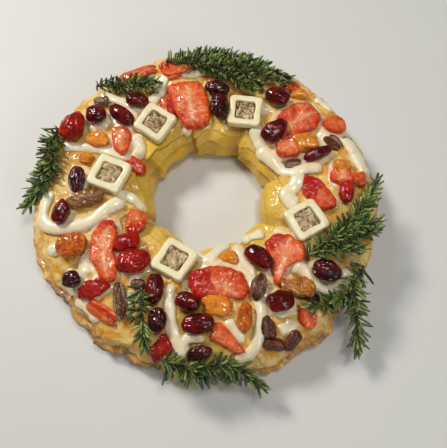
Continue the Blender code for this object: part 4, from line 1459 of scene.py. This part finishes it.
@dataclass
class AmberChunks:
    """The thick orange and brown pieces."""

    crown: Crown
    amber: AmberFinish = AmberFinish("amber_flesh")
    honey: AmberFinish = AmberFinish(
        "honey_flesh", (0.54, 0.20, 0.022), (0.30, 0.080, 0.007), (0.78, 0.44, 0.12), 0.3
    )
    fig: AmberFinish = AmberFinish(
        "fig_flesh", (0.33, 0.135, 0.042), (0.15, 0.050, 0.014), (0.60, 0.37, 0.19), 0.3
    )
    shallow: float = 0.25  # depth of the creases
    deep: float = 0.7

    def build(self) -> list[Piece]:
        """Dresses every chunk."""
        amber, honey, fig = (finish.material() for finish in (self.amber, self.honey, self.fig))
        looks = ((amber, self.shallow), (honey, self.deep), (amber, self.shallow), (fig, self.deep))
        return [self.chunk(index, *look) for index, look in enumerate(looks, 1)]

    def chunk(self, index: int, finish: Material, crease: float) -> Piece:
        """Dresses one chunk, lumpy and creased along its length."""
        copy = FruitCopy(f"amber_chunk_{index}", self.crown, 1.03, True)
        fan = copy.spun()
        rise = 1.6 * grain_of(copy.points, 6.5, 2, index + 9) + 0.35 * grain_of(copy.points, 2.4, 2, index)
        rise = rise - crease * streak(grain_of(fan * (1.6, 1.6, 0.6), 1.0, 2, index), 0.12)
        return copy.close(rise, {"grain": fan}, finish, "amber")


@dataclass(frozen=True)
class CherryKind:
    """One kind of cherry."""

    name: str  # its nodes' name
    slot: str  # name of a material slot
    finish: CherryFinish
    count: int = 0  # how many there are, none for a look that other kinds' cherries take
    swell: float = 1.07  # growth about its middle
    fold: float = 1.0  # depth of its wrinkles, in millimetres
    lump: float = 0.7  # height of its lumps, in millimetres


@dataclass
class Cherries:
    """Every cherry, from near black to bright red."""

    crown: Crown
    dark: CherryKind = CherryKind(
        "dark_cherry", "dark_cherry", CherryFinish("dark_cherry_skin"), 15, fold=0.5
    )
    wrinkled: CherryKind = CherryKind(
        "wrinkled_cherry", "dark_cherry", CherryFinish("wrinkled_cherry_skin", *DULL_CHERRY, 0.06, 1.0), 5
    )
    red: CherryKind = CherryKind(
        "red_cherry", "red_cherry",
        CherryFinish("red_cherry_skin", (0.22, 0.003, 0.002), (0.48, 0.013, 0.005), 0.0, 0.7),
        3, 1.18, 0.5, 1.2,
    )
    # a look with icing dust and painted highlights on the wrinkle ridges
    dusted_glinting: CherryKind = CherryKind(
        "frosted_cherry", "dark_cherry", CherryFinish("frosted_cherry_skin", *DULL_CHERRY, 1.0, 1.0)
    )
    redder: tuple[str, ...] = ("dark_cherry_15",)  # dark cherries as red as the red ones
    dulled: tuple[str, ...] = ("dark_cherry_10", "dark_cherry_12")  # and those as dull as the wrinkled ones
    dust_and_glint_cherries: tuple[str, ...] = ("wrinkled_cherry_01",)  # pale with icing dust and painted highlights on the wrinkle ridges
    plump: tuple[str, ...] = ("red_cherry_03",)  # a lump bigger than its solid
    plump_swell: float = 1.32

    def build(self) -> list[Piece]:
        """Dresses every cherry."""
        made = []
        kinds = (self.dark, self.wrinkled, self.red, self.dusted_glinting)
        finishes = {kind.name: kind.finish.material() for kind in kinds}
        looks = {
            **dict.fromkeys(self.redder, self.red),
            **dict.fromkeys(self.dulled, self.wrinkled),
            **dict.fromkeys(self.dust_and_glint_cherries, self.dusted_glinting),
        }
        for kind in kinds:
            for index in range(1, kind.count + 1):
                look = looks.get(f"{kind.name}_{index:02d}", kind)
                made.append(self.cherry(kind, look, index, finishes[look.name]))
        return made

    def cherry(self, kind: CherryKind, look: CherryKind, index: int, finish: Material) -> Piece:
        """Dresses one cherry with folds along its length and a dimple at its stalk end.

        Args:
            kind: The kind that its node belongs to.
            look: The kind that it looks like.
            index: Its number in its kind.
            finish: The material.

        Returns:
            The finished piece.
        """
        node = f"{kind.name}_{index:02d}"
        copy = FruitCopy(node, self.crown, self.plump_swell if node in self.plump else look.swell)
        fan = copy.spun()
        seed = index + 20.0 * len(kind.name)
        folds = streak(grain_of(fan * (1.3, 1.3, 0.6), 1.0, 2, seed), 0.10)
        rise = look.lump * grain_of(copy.points, 6.0, 2, seed) - look.fold * folds
        rise = rise - 0.9 * streak(1.0 - fan[:, 2], 0.16)
        return copy.close(rise, {"grain": fan + (seed, 0.0, 0.0)}, finish, kind.slot)


@dataclass(frozen=True)
class BitKind:
    """One kind of small topping that is one with the dough in the CAD model."""

    name: str  # name of its piece
    slot: str  # name of a material slot
    square: float  # how boxy a bit is, 2 for a ball
    uneven: float  # how lumpy it is, as a share of its size
    crease: float  # depth of its creases, as a share of its size
    slant: float  # how much more skin one side has
    skins: dict[int, float]  # share of skin, or of icing smeared on it, by place in the list
    # place, length, width, height and turn of each
    bits: tuple[tuple[Place, float, float, float, float], ...]


RAISINS = BitKind(
    "raisins", "dough", 2.7, 0.24, 0.20, 0.0, {0: 0.5, 1: 0.9, 3: 0.3, 9: 0.6},
    (
        ((145, 112), 12, 9, 7, 6), ((241, 104), 24, 10, 7, 106), ((243, 89), 9, 8, 6, 6),
        ((300, 85), 19, 10, 7, 83), ((297, 112), 15, 11, 8, 105), ((297, 123), 14, 9, 7, 172),
        ((303, 126), 15, 10, 7, 70), ((317, 111), 11, 8, 6, 153), ((27, 105), 14, 11, 7, 144),
        ((22, 68), 12, 8, 6, 6),
    ),
)
AMBER_BITS = BitKind(
    "amber_bits", "amber", 3.4, 0.34, 0.0, 0.6, {},
    (
        ((161, 93), 15, 12, 7, 173), ((172, 95), 10, 9, 6, 172), ((32, 84), 19, 14, 7, 17),
        ((15, 104), 14, 9, 7, 6), ((280, 90), 20, 12, 7, 178), ((292, 58), 12, 9, 6, 6),
        ((54, 112), 13, 8, 6, 7),
    ),
)
CANDIED_BITS = BitKind(
    "candied_bits", "candied", 3.4, 0.34, 0.0, 0.6, {2: 0.6, 5: 0.9, 6: 1.0},
    (
        ((9, 114), 13, 12, 6, 6), ((238, 117), 24, 10, 6, 150), ((125, 117), 30, 11, 6, 22),
        ((110, 108), 23, 17, 7, 18), ((59, 113), 14, 12, 7, 7), ((121, 76), 17, 13, 7, 98),
        ((168, 58), 15, 10, 6, 152),
    ),
)


@dataclass
class SmallBits:
    """Raisins and small candied pieces, half sunk in the dough."""

    crown: Crown
    around: int = 30
    along: int = 20
    sunk: float = 0.2  # share of the height that its middle stands over what it rests on
    orange: AmberFinish = AmberFinish(
        "orange_flesh", (0.82, 0.30, 0.025), (0.66, 0.175, 0.011), (0.88, 0.50, 0.13)
    )

    def build(self, ground: Ground) -> list[Piece]:
        """Makes one piece of each kind."""
        kinds = (
            (RAISINS, RaisinFinish()), (AMBER_BITS, self.orange), (CANDIED_BITS, CandiedFinish(Tone.ORANGE)),
        )
        return [self.group(kind, ground, finish.material()) for kind, finish in kinds]

    def group(self, kind: BitKind, ground: Ground, finish: Material) -> Piece:
        """Seats every bit of a kind on what lies under it.

        Args:
            kind: Which bits.
            ground: What they rest on.
            finish: Their material.

        Returns:
            One piece with all of them.
        """
        bm = bmesh.new()
        marks: dict[str, list[Array]] = {"grain": [], "pale": [], "skin": []}
        for index, (place, length, width, height, turn) in enumerate(kind.bits):
            made = bmesh.ops.create_uvsphere(bm, u_segments=self.around, v_segments=self.along, radius=1.0)
            verts = made["verts"]
            ball = np.array([vert.co[:] for vert in verts])[:, [2, 0, 1]]
            rounding = (np.abs(ball) ** kind.square).sum(axis=1, keepdims=True) ** (1.0 / kind.square)
            fan = wound(np.arctan2(ball[:, 1], ball[:, 2]), ball[:, 0])
            seed = index + 31.0 * len(kind.name)
            lump = 1.0 + kind.uneven * grain_of(ball, 0.9, 3, seed)
            if kind.crease:
                crease = streak(grain_of(fan * (1.8, 1.8, 0.7), 1.0, 2, seed), 0.14)
                lump = lump - kind.crease * crease * (1.0 - ball[:, 0] ** 4)
            body = ball / rounding * (length / 2, width / 2, height / 2) * lump[:, None]
            matrix = self.crown.seat(place, turn)
            matrix.translation.z = max(ground.top(*on_plan(place)) or 0.0, matrix.translation.z - 1.0)
            matrix.translation += matrix.col[2].to_3d() * (self.sunk * height)
            for vert, spot in zip(verts, body.tolist(), strict=True):
                vert.co = matrix @ Vector(spot)
            marks["grain"].append(fan + (seed, 0.0, 0.0))
            marks["pale"].append(0.7 * streak(grain_of(ball, 0.5, 3, seed), 0.06))
            marks["skin"].append(np.clip(ball[:, 1] * kind.slant + kind.skins.get(index, 0.0), 0.0, 1.0))
        bmesh.ops.recalc_face_normals(bm, faces=bm.faces)
        obj = link(kind.name, bpy.data.meshes.new(kind.name))
        bm.to_mesh(obj.data)
        bm.free()
        move_points(obj.data, to_shared(mesh_points(obj.data)))
        for name, values in marks.items():
            mark(obj.data, name, np.concatenate(values))
        return settle(obj, finish)


# ----- chocolate and nut


@dataclass
class ChocolateSquares:
    """White-chocolate frames, each with chopped nut in its opening."""

    crown: Crown
    half: float = 12.9
    thick: float = 6.6
    well: float = 7.6
    corner: float = 3.6
    inner_corner: float = 1.9
    outer_round: float = 1.7  # radius of the top's outer edge
    inner_round: float = 0.8
    arc: int = 8
    straight: int = 14
    places: tuple[tuple[Place, float], ...] = (
        ((134, 67), 64), ((71, 70), -3), ((181, 73), 74), ((344, 77), 35), ((254, 63), 66),
    )
    nut_cells: int = 64
    nut_top: float = 6.6
    hand_made: tuple[float, ...] = (0.9, 0.9, 0.45)  # unevenness along each axis

    def outline(self, half: float, corner: float, height: float) -> Array:
        """Points of a rounded square at a height."""
        straight, inner = np.arange(self.straight) / self.straight, half - corner
        around = math.pi / 2 * np.arange(self.arc) / self.arc
        side = np.c_[np.full(self.straight, half), (2 * straight - 1) * inner]
        bend = np.c_[inner + corner * np.cos(around), inner + corner * np.sin(around)]
        turns = ((1, 0), (0, 1), (-1, 0), (0, -1))
        flat = np.concatenate([np.r_[side, bend] @ np.array(((c, s), (-s, c))) for c, s in turns])
        return np.c_[flat, np.full(len(flat), height)]

    def sections(self) -> list[tuple[float, float, float]]:
        """Half width, corner radius and height of each ring of the frame's skin."""
        outside, inside, top = self.half, self.well, self.thick
        rings = [(outside - 1.0, self.corner, 0.0), (outside - 0.3, self.corner, 0.3)]
        rings += [(outside, self.corner, height) for height in (1.1, 2.4, 3.8)]
        for step in range(1, 7):
            around = math.pi / 2 * step / 6
            inward, down = 1 - math.cos(around), 1 - math.sin(around)
            rings.append((outside - self.outer_round * inward, self.corner, top - self.outer_round * down))
        rings.append((0.5 * (outside + inside) - 0.4, 0.5 * (self.corner + self.inner_corner), top + 0.12))
        for step in range(5):
            around = math.pi / 2 * step / 4
            out, down = 1 - math.sin(around), 1 - math.cos(around)
            rings.append((inside + self.inner_round * out, self.inner_corner, top - self.inner_round * down))
        rings += [(inside, self.inner_corner, 3.0), (inside + 0.2, self.inner_corner, 0.0)]
        return rings

    def build(self) -> list[Piece]:
        """Makes every frame and its nut."""
        chocolate, nut = ChocolateFinish().material(), NutFinish().material()
        made = []
        for index, (place, turn) in enumerate(self.places, 1):
            seat = np.array(self.crown.seat(place, turn))
            local = (cad_points(f"chocolate_square_{index}") - seat[:3, 3]) @ seat[:3, :3]
            lift = local[:, 2].min()
            made.append(self.square(index, seat, lift, chocolate))
            made.append(self.nut(index, seat, lift, nut))
        return made

    def place(self, points: Array, seat: Array, lift: float) -> Array:
        """A piece's own points, stood on the crown and brought to metres."""
        return to_shared((points + (0.0, 0.0, lift)) @ seat[:3, :3].T + seat[:3, 3])

    def square(self, index: int, seat: Array, lift: float, finish: Material) -> Piece:
        """Makes one frame, a little uneven by hand.

        Args:
            index: Its number.
            seat: Matrix that stands it on the crown.
            lift: Height of its underside over the seat.
            finish: The material.

        Returns:
            The finished piece.
        """
        rings = [self.outline(*section) for section in self.sections()]
        points = np.concatenate(rings)
        for axis, amount in enumerate(self.hand_made):
            points[:, axis] += amount * grain_of(points * (1.0, 1.0, 0.25), 13.0, 2, index * 3.0 + axis)
        points[:, 2] += 0.14 * grain_of(points, 3.0, 2, index)
        points[:, 2] = np.maximum(points[:, 2], 0.0)
        faces = loft_faces(len(rings), len(rings[0]))
        obj = mesh_piece(f"chocolate_square_{index}_dressed", self.place(points, seat, lift), faces)
        return settle(obj, finish, (f"chocolate_square_{index}",))

    def nut_faces(self) -> Faces:
        """Faces of a nut: a grid on top, one below and walls between their edges."""
        count = self.nut_cells
        size, last = count * count, count - 1
        faces = []
        for i in range(last):
            for j in range(last):
                a, b = i * count + j, (i + 1) * count + j
                faces.append((a, b, b + 1, a + 1))
                faces.append((size + a, size + a + 1, size + b + 1, size + b))
        for k in range(last):
            for a, b in (
                (k, k + 1), (last * count + k + 1, last * count + k), ((k + 1) * count, k * count),
                (k * count + last, (k + 1) * count + last),
            ):
                faces.append((a, b, size + b, size + a))
        return faces

    def nut(self, index: int, seat: Array, lift: float, finish: Material) -> Piece:
        """Makes one opening's nut: folded flakes with cracks between them.

        Args:
            index: Its number.
            seat: Matrix that stands it on the crown.
            lift: Height of its underside over the seat.
            finish: The material.

        Returns:
            The finished piece.
        """
        line = np.linspace(-1.0, 1.0, self.nut_cells)
        x, y = (grid.ravel() for grid in np.meshgrid(line, line, indexing="ij"))
        flat = np.stack([x, y, 0 * x], axis=-1) * (self.well - 0.1)
        seed = 5.0 * index
        wide = grain_of(flat, 7.0, 2, seed)
        bent = flat + np.stack([3.5 * wide, 3.5 * grain_of(flat, 6.0, 2, seed + 1), 0 * x], axis=-1)
        fold = 1.0 - np.abs(grain_of(bent * (1.0, 0.4, 1.0), 4.2, 2, seed + 2)) * 3.6
        shaded_crack = streak(grain_of(bent, 6.5, 1, seed + 3), 0.055)
        gap = ramp(0.86, 1.0, np.maximum(np.abs(x), np.abs(y)) + 0.25 * grain_of(flat, 4.0, 2, seed + 6))
        height = self.nut_top - 1.5 + 1.4 * wide + 0.9 * np.maximum(fold, -0.8) - 1.5 * shaded_crack - 2.6 * gap
        top = np.stack([flat[:, 0], flat[:, 1], np.clip(height, 0.6, self.thick + 0.7)], axis=-1)
        points = np.concatenate([top, top * (1.0, 1.0, 0.0) + (0.0, 0.0, 0.3)])
        obj = mesh_piece(f"nut_{index}_dressed", self.place(points, seat, lift), self.nut_faces())
        mark(obj.data, "husk", np.tile(grain_of(flat, 4.5, 2, seed + 4) + 0.5, 2))
        # painted shade: dark in the cracks, in the gap at the opening's wall and in the fold hollows
        dark = 0.8 * shaded_crack + 0.6 * gap + 0.4 * ramp(-0.2, -1.0, fold)
        mark(obj.data, "shaded_crack", np.tile(np.clip(dark, 0.0, 1.0), 2))
        face_outward(obj.data)
        return settle(obj, finish, (f"nut_{index}",))


# ----- sprigs


Stem = tuple[Point, ...]  # angle, radius and height of each stop


@dataclass
class Sprigs:
    """Conifer sprigs: stems over the toppings, set all round with needles."""

    finish: NeedleFinish
    stem_radius: float = 1.1
    stem_step: float = 4.5
    stem_lift: float = 4.2  # how far a stem stays over what lies beneath
    stem_drop: float = 24.0  # how far down it still rests on something
    stem_rounds: int = 6  # times that its height is evened
    fine_step: float = 1.5  # from station to station once it is
    spacing: float = 0.58
    length: float = 12.6
    # each sprig's needles against the length
    shares: tuple[float, ...] = (0.95, 0.78, 0.72, 0.88, 1.05, 0.95, 0.98)
    lean: float = 0.45
    droop: float = 1.1  # how far a needle's tip bends
    section: tuple[Place, ...] = ((1.0, 0.0), (0.0, 0.42), (-1.0, 0.0), (0.0, -0.42))
    # height and width of each section of a needle
    rings: tuple[Place, ...] = ((0.0, 0.45), (0.1, 0.9), (0.36, 1.0), (0.68, 0.98), (0.91, 0.72), (1.0, 0.2))
    # the stems of each sprig
    stems: tuple[tuple[Stem, ...], ...] = (
        (
            ((163, 127, 34), (174, 120, 38), (182, 118, 38), (187, 125, 34), (190, 138, 17)),
            ((165, 127, 34), (172, 128, 33), (178, 125, 35)),
            ((176, 119, 37), (183, 126, 33), (188, 133, 24)),
        ),
        (
            ((141, 127, 33), (133, 110, 41), (121, 98, 42)),
            ((138, 117, 37), (130, 103, 41), (124, 95, 42)),
        ),
        (
            ((113, 116, 38), (101, 113, 41), (91, 107, 43), (81, 103, 44), (69, 95, 44)),
            ((94, 109, 42), (82, 113, 42), (70, 114, 41), (61, 115, 41)),
            ((110, 111, 40), (100, 106, 43), (90, 101, 44), (80, 98, 44)),
            ((96, 115, 41), (86, 119, 39), (78, 119, 40), (72, 118, 40)),
            ((88, 104, 44), (78, 108, 43), (68, 106, 42), (62, 108, 42)),
            ((104, 114, 41), (97, 121, 38), (90, 124, 36)),
            ((99, 105, 44), (90, 97, 45), (81, 92, 45), (72, 88, 44)),
        ),
        (
            ((327, 90, 44), (338, 97, 48), (346, 110, 46), (352, 126, 42)),
            ((342, 104, 47), (354, 116, 43), (7, 127, 38)), ((330, 91, 45), (337, 108, 44), (341, 120, 42)),
            ((335, 98, 46), (348, 106, 46), (358, 116, 43), (3, 120, 41)),
            ((339, 104, 46), (345, 117, 43), (349, 127, 38)),
        ),
        (
            ((337, 128, 32), (330, 126, 36), (326, 139, 22), (321, 151, 18), (318, 158, 17)),
            ((329, 129, 34), (319, 121, 36), (313, 115, 40)),
        ),
        (((246, 90, 43), (252, 109, 42), (256, 123, 36)),),
        (
            ((262, 128, 31), (270, 131, 31), (277, 128, 34), (284, 131, 31), (290, 146, 17)),
            ((264, 131, 29), (270, 134, 25), (277, 135, 23), (283, 137, 21)),
        ),
    )

    def path(self, stops: Stem, ground: Ground) -> list[Vector]:
        """Stations of a stem, kept a lift over whatever lies beneath.

        Args:
            stops: The stem's stops.
            ground: What it passes over.

        Returns:
            The stations.
        """
        path = smooth_path([Vector((*on_plan(stop[:2]), stop[2])) for stop in stops], self.stem_step)
        floors = []
        for point in path:
            tops = [
                ground.top(point.x + dx, point.y + dy)
                for dx, dy in ((0, 0), (2, 0), (-2, 0), (0, 2), (0, -2))
            ]
            tops = [top for top in tops if top is not None and top > point.z - self.stem_drop]
            floors.append(max(tops) + self.stem_lift if tops else 0.0)
        heights = [max(point.z, floor) for point, floor in zip(path, floors, strict=True)]
        last = len(heights) - 1
        for _ in range(self.stem_rounds):
            evened = [
                (heights[max(i - 1, 0)] + heights[i] + heights[min(i + 1, last)]) / 3 for i in range(last + 1)
            ]
            heights = [max(height, floor) for height, floor in zip(evened, floors, strict=True)]
        stations = [Vector((p.x, p.y, height)) for p, height in zip(path, heights, strict=True)]
        return smooth_path(stations, self.fine_step)

    def needle(self) -> Piece:
        """One curved needle along Z, one unit long and at its real width, as a hidden helper."""
        points = [
            (x * width * MM, (y * width + self.droop * height**2) * MM, height)
            for height, width in self.rings for x, y in self.section
        ]
        around = len(self.section)
        faces = loft_faces(len(self.rings), around, closed=False)
        faces += [(3, 2, 1, 0), tuple(range(len(points) - around, len(points)))]
        obj = mesh_piece("needle_pattern", np.array(points), faces, hidden=True)
        mark(obj.data, "reach", np.repeat([height for height, _ in self.rings], around))
        return obj

    def recipe(self) -> Recipe:
        """Geometry Nodes tree that sweeps the stems and sets needles along them."""
        made = Recipe(
            "needled_sprig",
            {"Path": "Object", "Needle": "Object", "Ground": "Object", "Spacing": "Float",
             "Length": "Float", "Lean": "Float", "Stem Radius": "Float", "Seed": "Int",
             "Finish": "Material"},
        )
        given, ground = made.given, made.shape("Ground")
        path = made.shape("Path")
        even = made.take("ResampleCurve", {"mode": "LENGTH"}, Curve=path, Length=given["Spacing"])
        stem = made.store(even, "POINT", "along", made.add("SplineParameter").outputs["Factor"])
        stations = made.add("CurveToPoints", {"mode": "EVALUATED"}, Curve=stem)
        ahead, sideways = stations.outputs["Tangent"], stations.outputs["Normal"]
        along = made.take("InputNamedAttribute", {"data_type": "FLOAT"}, Name="along")
        # each needle's direction, a golden angle on from the one before
        turn = made.times(made.take("InputIndex"), math.radians(137.5))
        turn = made.plus(turn, made.chance(-0.4, 0.4, 1))
        out = made.vector(
            "ADD",
            made.scaled(sideways, made.math("COSINE", turn)),
            made.scaled(made.vector("CROSS_PRODUCT", ahead, sideways), made.math("SINE", turn)),
        )
        tip = made.times(made.math("POWER", along, 4.0), 1.6)
        lean = made.plus(made.plus(given["Lean"], tip), made.chance(-0.18, 0.22, 2))
        sway = made.combined(
            made.chance(-0.45, 0.45, 8), made.chance(-0.45, 0.45, 9), made.chance(-0.2, 0.5, 10)
        )
        aim = made.vector("ADD", made.vector("ADD", out, made.scaled(ahead, lean)), sway)
        aim = made.vector("NORMALIZE", aim)
        size = made.times(given["Length"], made.chance(0.62, 1.08, 3))
        size = made.times(size, made.minus(1.0, made.times(along, 0.22)))
        # where it would run into something, it slides along it or stops short
        where = made.take("InputPosition")
        bump = made.add("Raycast", i0=ground, i2=where, i3=aim, i4=size).outputs["Hit Normal"]
        slid = made.vector("SUBTRACT", aim, made.scaled(bump, made.vector("DOT_PRODUCT", aim, bump)))
        slid = made.vector("NORMALIZE", made.vector("ADD", slid, made.scaled(bump, 0.12)))
        second = made.add("Raycast", i0=ground, i2=where, i3=slid, i4=size)
        near = made.minus(second.outputs["Hit Distance"], 0.4 * MM)
        hit = second.outputs["Is Hit"]
        size = made.plus(
            made.times(hit, made.math("MINIMUM", near, size)), made.times(made.minus(1.0, hit), size)
        )
        thick = made.chance(0.8, 1.15, 4)
        over = made.combined(made.chance(-0.8, 0.8, 6), made.chance(-0.8, 0.8, 7), 1.0)
        turned = made.take(
            "FunctionNodeAxesToRotation", {"primary_axis": "Z", "secondary_axis": "X"},
            i0=slid, i1=made.vector("CROSS_PRODUCT", over, slid),
        )
        grown = made.take(
            "InstanceOnPoints", Points=stations.outputs["Points"],
            Selection=made.math("GREATER_THAN", size, 3.0 * MM), Instance=made.shape("Needle"),
            Rotation=turned, Scale=made.combined(thick, thick, size),
        )
        tinted = made.store(grown, "INSTANCE", "tint", made.chance(0.0, 1.0, 5))
        swept = made.take(
            "CurveToMesh", Curve=stem, Fill_Caps=True,
            Profile_Curve=made.take("CurvePrimitiveCircle", Resolution=8, Radius=given["Stem Radius"]),
            Scale=made.minus(1.0, made.times(along, 0.5)),
        )
        made.close(tinted, made.store(swept, "POINT", "woody", 1.0))
        return made

    def build(self, solids: Ground, resting: Piece) -> list[Piece]:
        """Makes every sprig.

        Args:
            solids: Search trees of the CAD nodes that the stems pass over.
            resting: One mesh of them all, which needles stop short of.

        Returns:
            One piece for each sprig.
        """
        recipe, needle, finish = self.recipe(), self.needle(), self.finish.material()
        made = []
        for index, (stems, share) in enumerate(zip(self.stems, self.shares, strict=True)):
            lines = [self.path(stem, solids) for stem in stems]
            path = path_object("stem_paths", lines, [[1.0] * len(line) for line in lines])
            obj = recipe.run(
                f"sprig_{index + 1}_dressed",
                {"Path": path, "Needle": needle, "Ground": resting, "Spacing": self.spacing * MM,
                 "Length": self.length * share * MM, "Lean": self.lean,
                 "Stem Radius": self.stem_radius * MM, "Seed": 11 * index + 3, "Finish": finish},
            )
            drop(path)
            node = f"sprig_{index + 1}"
            solids.add(cad_mesh(node))
            made.append(settle(obj, finish, (node,)))
        drop(needle)
        return made


# ----- studio


@dataclass
class Studio:
    """Plain pale table, soft light from the upper left, and the camera."""

    frame_size: tuple[int, int] = (447, 448)
    focal_pixels: float = 450.0
    sensor: float = 36.0
    eye: Point = (14.446, -140.146, 344.281)
    tilt: float = 19.828  # degrees from straight down
    roll: float = 5.513
    table: float = 1500.0  # half its width
    gap: float = 0.2  # from the table up to the cake, so that the two don't share a plane
    sky: Colour = (0.95, 0.96, 1.0)
    sky_strength: float = 0.10
    # each light: name, place in metres, size, power and colour
    lamps: tuple[tuple[str, Point, float, float, Colour], ...] = (
        ("key", (-0.85, 0.55, 1.00), 0.28, 14.0, (1.0, 0.97, 0.92)),
        ("top", (0.20, 0.15, 1.30), 0.28, 4.6, (1.0, 0.97, 0.93)),
        ("fill", (0.85, -0.75, 0.85), 0.50, 3.7, (1.0, 0.98, 0.95)),
    )

    def camera(self) -> None:
        """Makes the camera and gives it to the scene."""
        tilt, roll = math.radians(self.tilt), math.radians(self.roll)
        ahead = Vector((0.0, math.sin(tilt), -math.cos(tilt)))
        right, up = Vector((1.0, 0.0, 0.0)), Vector((0.0, math.cos(tilt), math.sin(tilt)))
        across = math.cos(roll) * right + math.sin(roll) * up
        above = math.cos(roll) * up - math.sin(roll) * right
        data = bpy.data.cameras.new("camera")
        data.sensor_width = self.sensor
        data.lens = self.focal_pixels * self.sensor / max(self.frame_size)
        data.clip_start, data.clip_end = 0.01, 20.0
        matrix = Matrix((across, above, -ahead)).transposed().to_4x4()
        matrix.translation = Vector(to_shared(np.array(self.eye)))
        obj = link("camera", data)
        obj.matrix_world = matrix
        bpy.context.scene.camera = obj

    def lamp(self, name: str, place: Point, size: float, power: float, tone: Colour) -> None:
        """Adds a square soft light that looks at the ring."""
        data = bpy.data.lights.new(name, "AREA")
        data.shape, data.size, data.energy, data.color = "SQUARE", size, power, tone
        obj = link(name, data)
        obj.location = place
        obj.rotation_mode = "QUATERNION"
        obj.rotation_quaternion = (-Vector(place)).to_track_quat("-Z", "Y")

    def build(self) -> None:
        """Makes the table, the lights and the camera."""
        corners = to_shared(SQUARE * self.table) - (0.0, 0.0, self.gap * MM)
        floor = mesh_piece("table", corners, [(0, 1, 2, 3)])
        floor.data.materials.append(TableFinish().material())
        for lamp in self.lamps:
            self.lamp(*lamp)
        world = bpy.data.worlds.new("studio")
        world.use_nodes = True
        background = world.node_tree.nodes["Background"].inputs
        background["Color"].default_value = (*self.sky, 1.0)
        background["Strength"].default_value = self.sky_strength
        bpy.context.scene.world = world
        bpy.context.scene.view_settings.view_transform = "Standard"
        self.camera()


def resting_mesh(nodes: list[str]) -> Piece:
    """One hidden mesh of several CAD nodes and a low floor, for needles to stop short of."""
    half, level = LOW_FLOOR
    floor = SQUARE * half + (0.0, 0.0, level)
    points, faces, count = [], [], 0
    for node in nodes:
        mesh = cad_mesh(node)
        points.append(mesh_points(mesh))
        faces += [tuple(count + vertex for vertex in polygon.vertices) for polygon in mesh.polygons]
        count += len(mesh.vertices)
    faces.append((count, count + 1, count + 2, count + 3))
    return mesh_piece("resting_ground", np.concatenate([*points, floor]), faces, hidden=True)


def main() -> None:
    """Builds every piece over the frame, then the studio."""
    logging.basicConfig(level=logging.INFO, format="%(name)s %(message)s")
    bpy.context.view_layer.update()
    crown = Crown()
    solids, red, ground = Ground(), Ground(), Ground()
    toppings = [node for node in sorted(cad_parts) if not node.startswith("sprig")]
    for node in toppings:
        solids.add(cad_mesh(node))
        if node.startswith(("candied", "red_cherry", "dark_cherry")):
            red.add(cad_mesh(node))
    resting = resting_mesh(toppings)
    dough = DoughRing(crown, DoughFinish()).build()
    ground.add(dough.data)
    icing = PipedIcing(IcingFinish()).build(dough, crown, ground, red)
    ground.add(icing.data)
    SmallBits(crown).build(ground)
    CandiedSlabs(crown).build()
    AmberChunks(crown).build()
    Cherries(crown).build()
    ChocolateSquares(crown).build()
    Sprigs(NeedleFinish()).build(solids, resting)
    drop(resting)
    Studio().build()


if __name__ == "__main__":
    main()
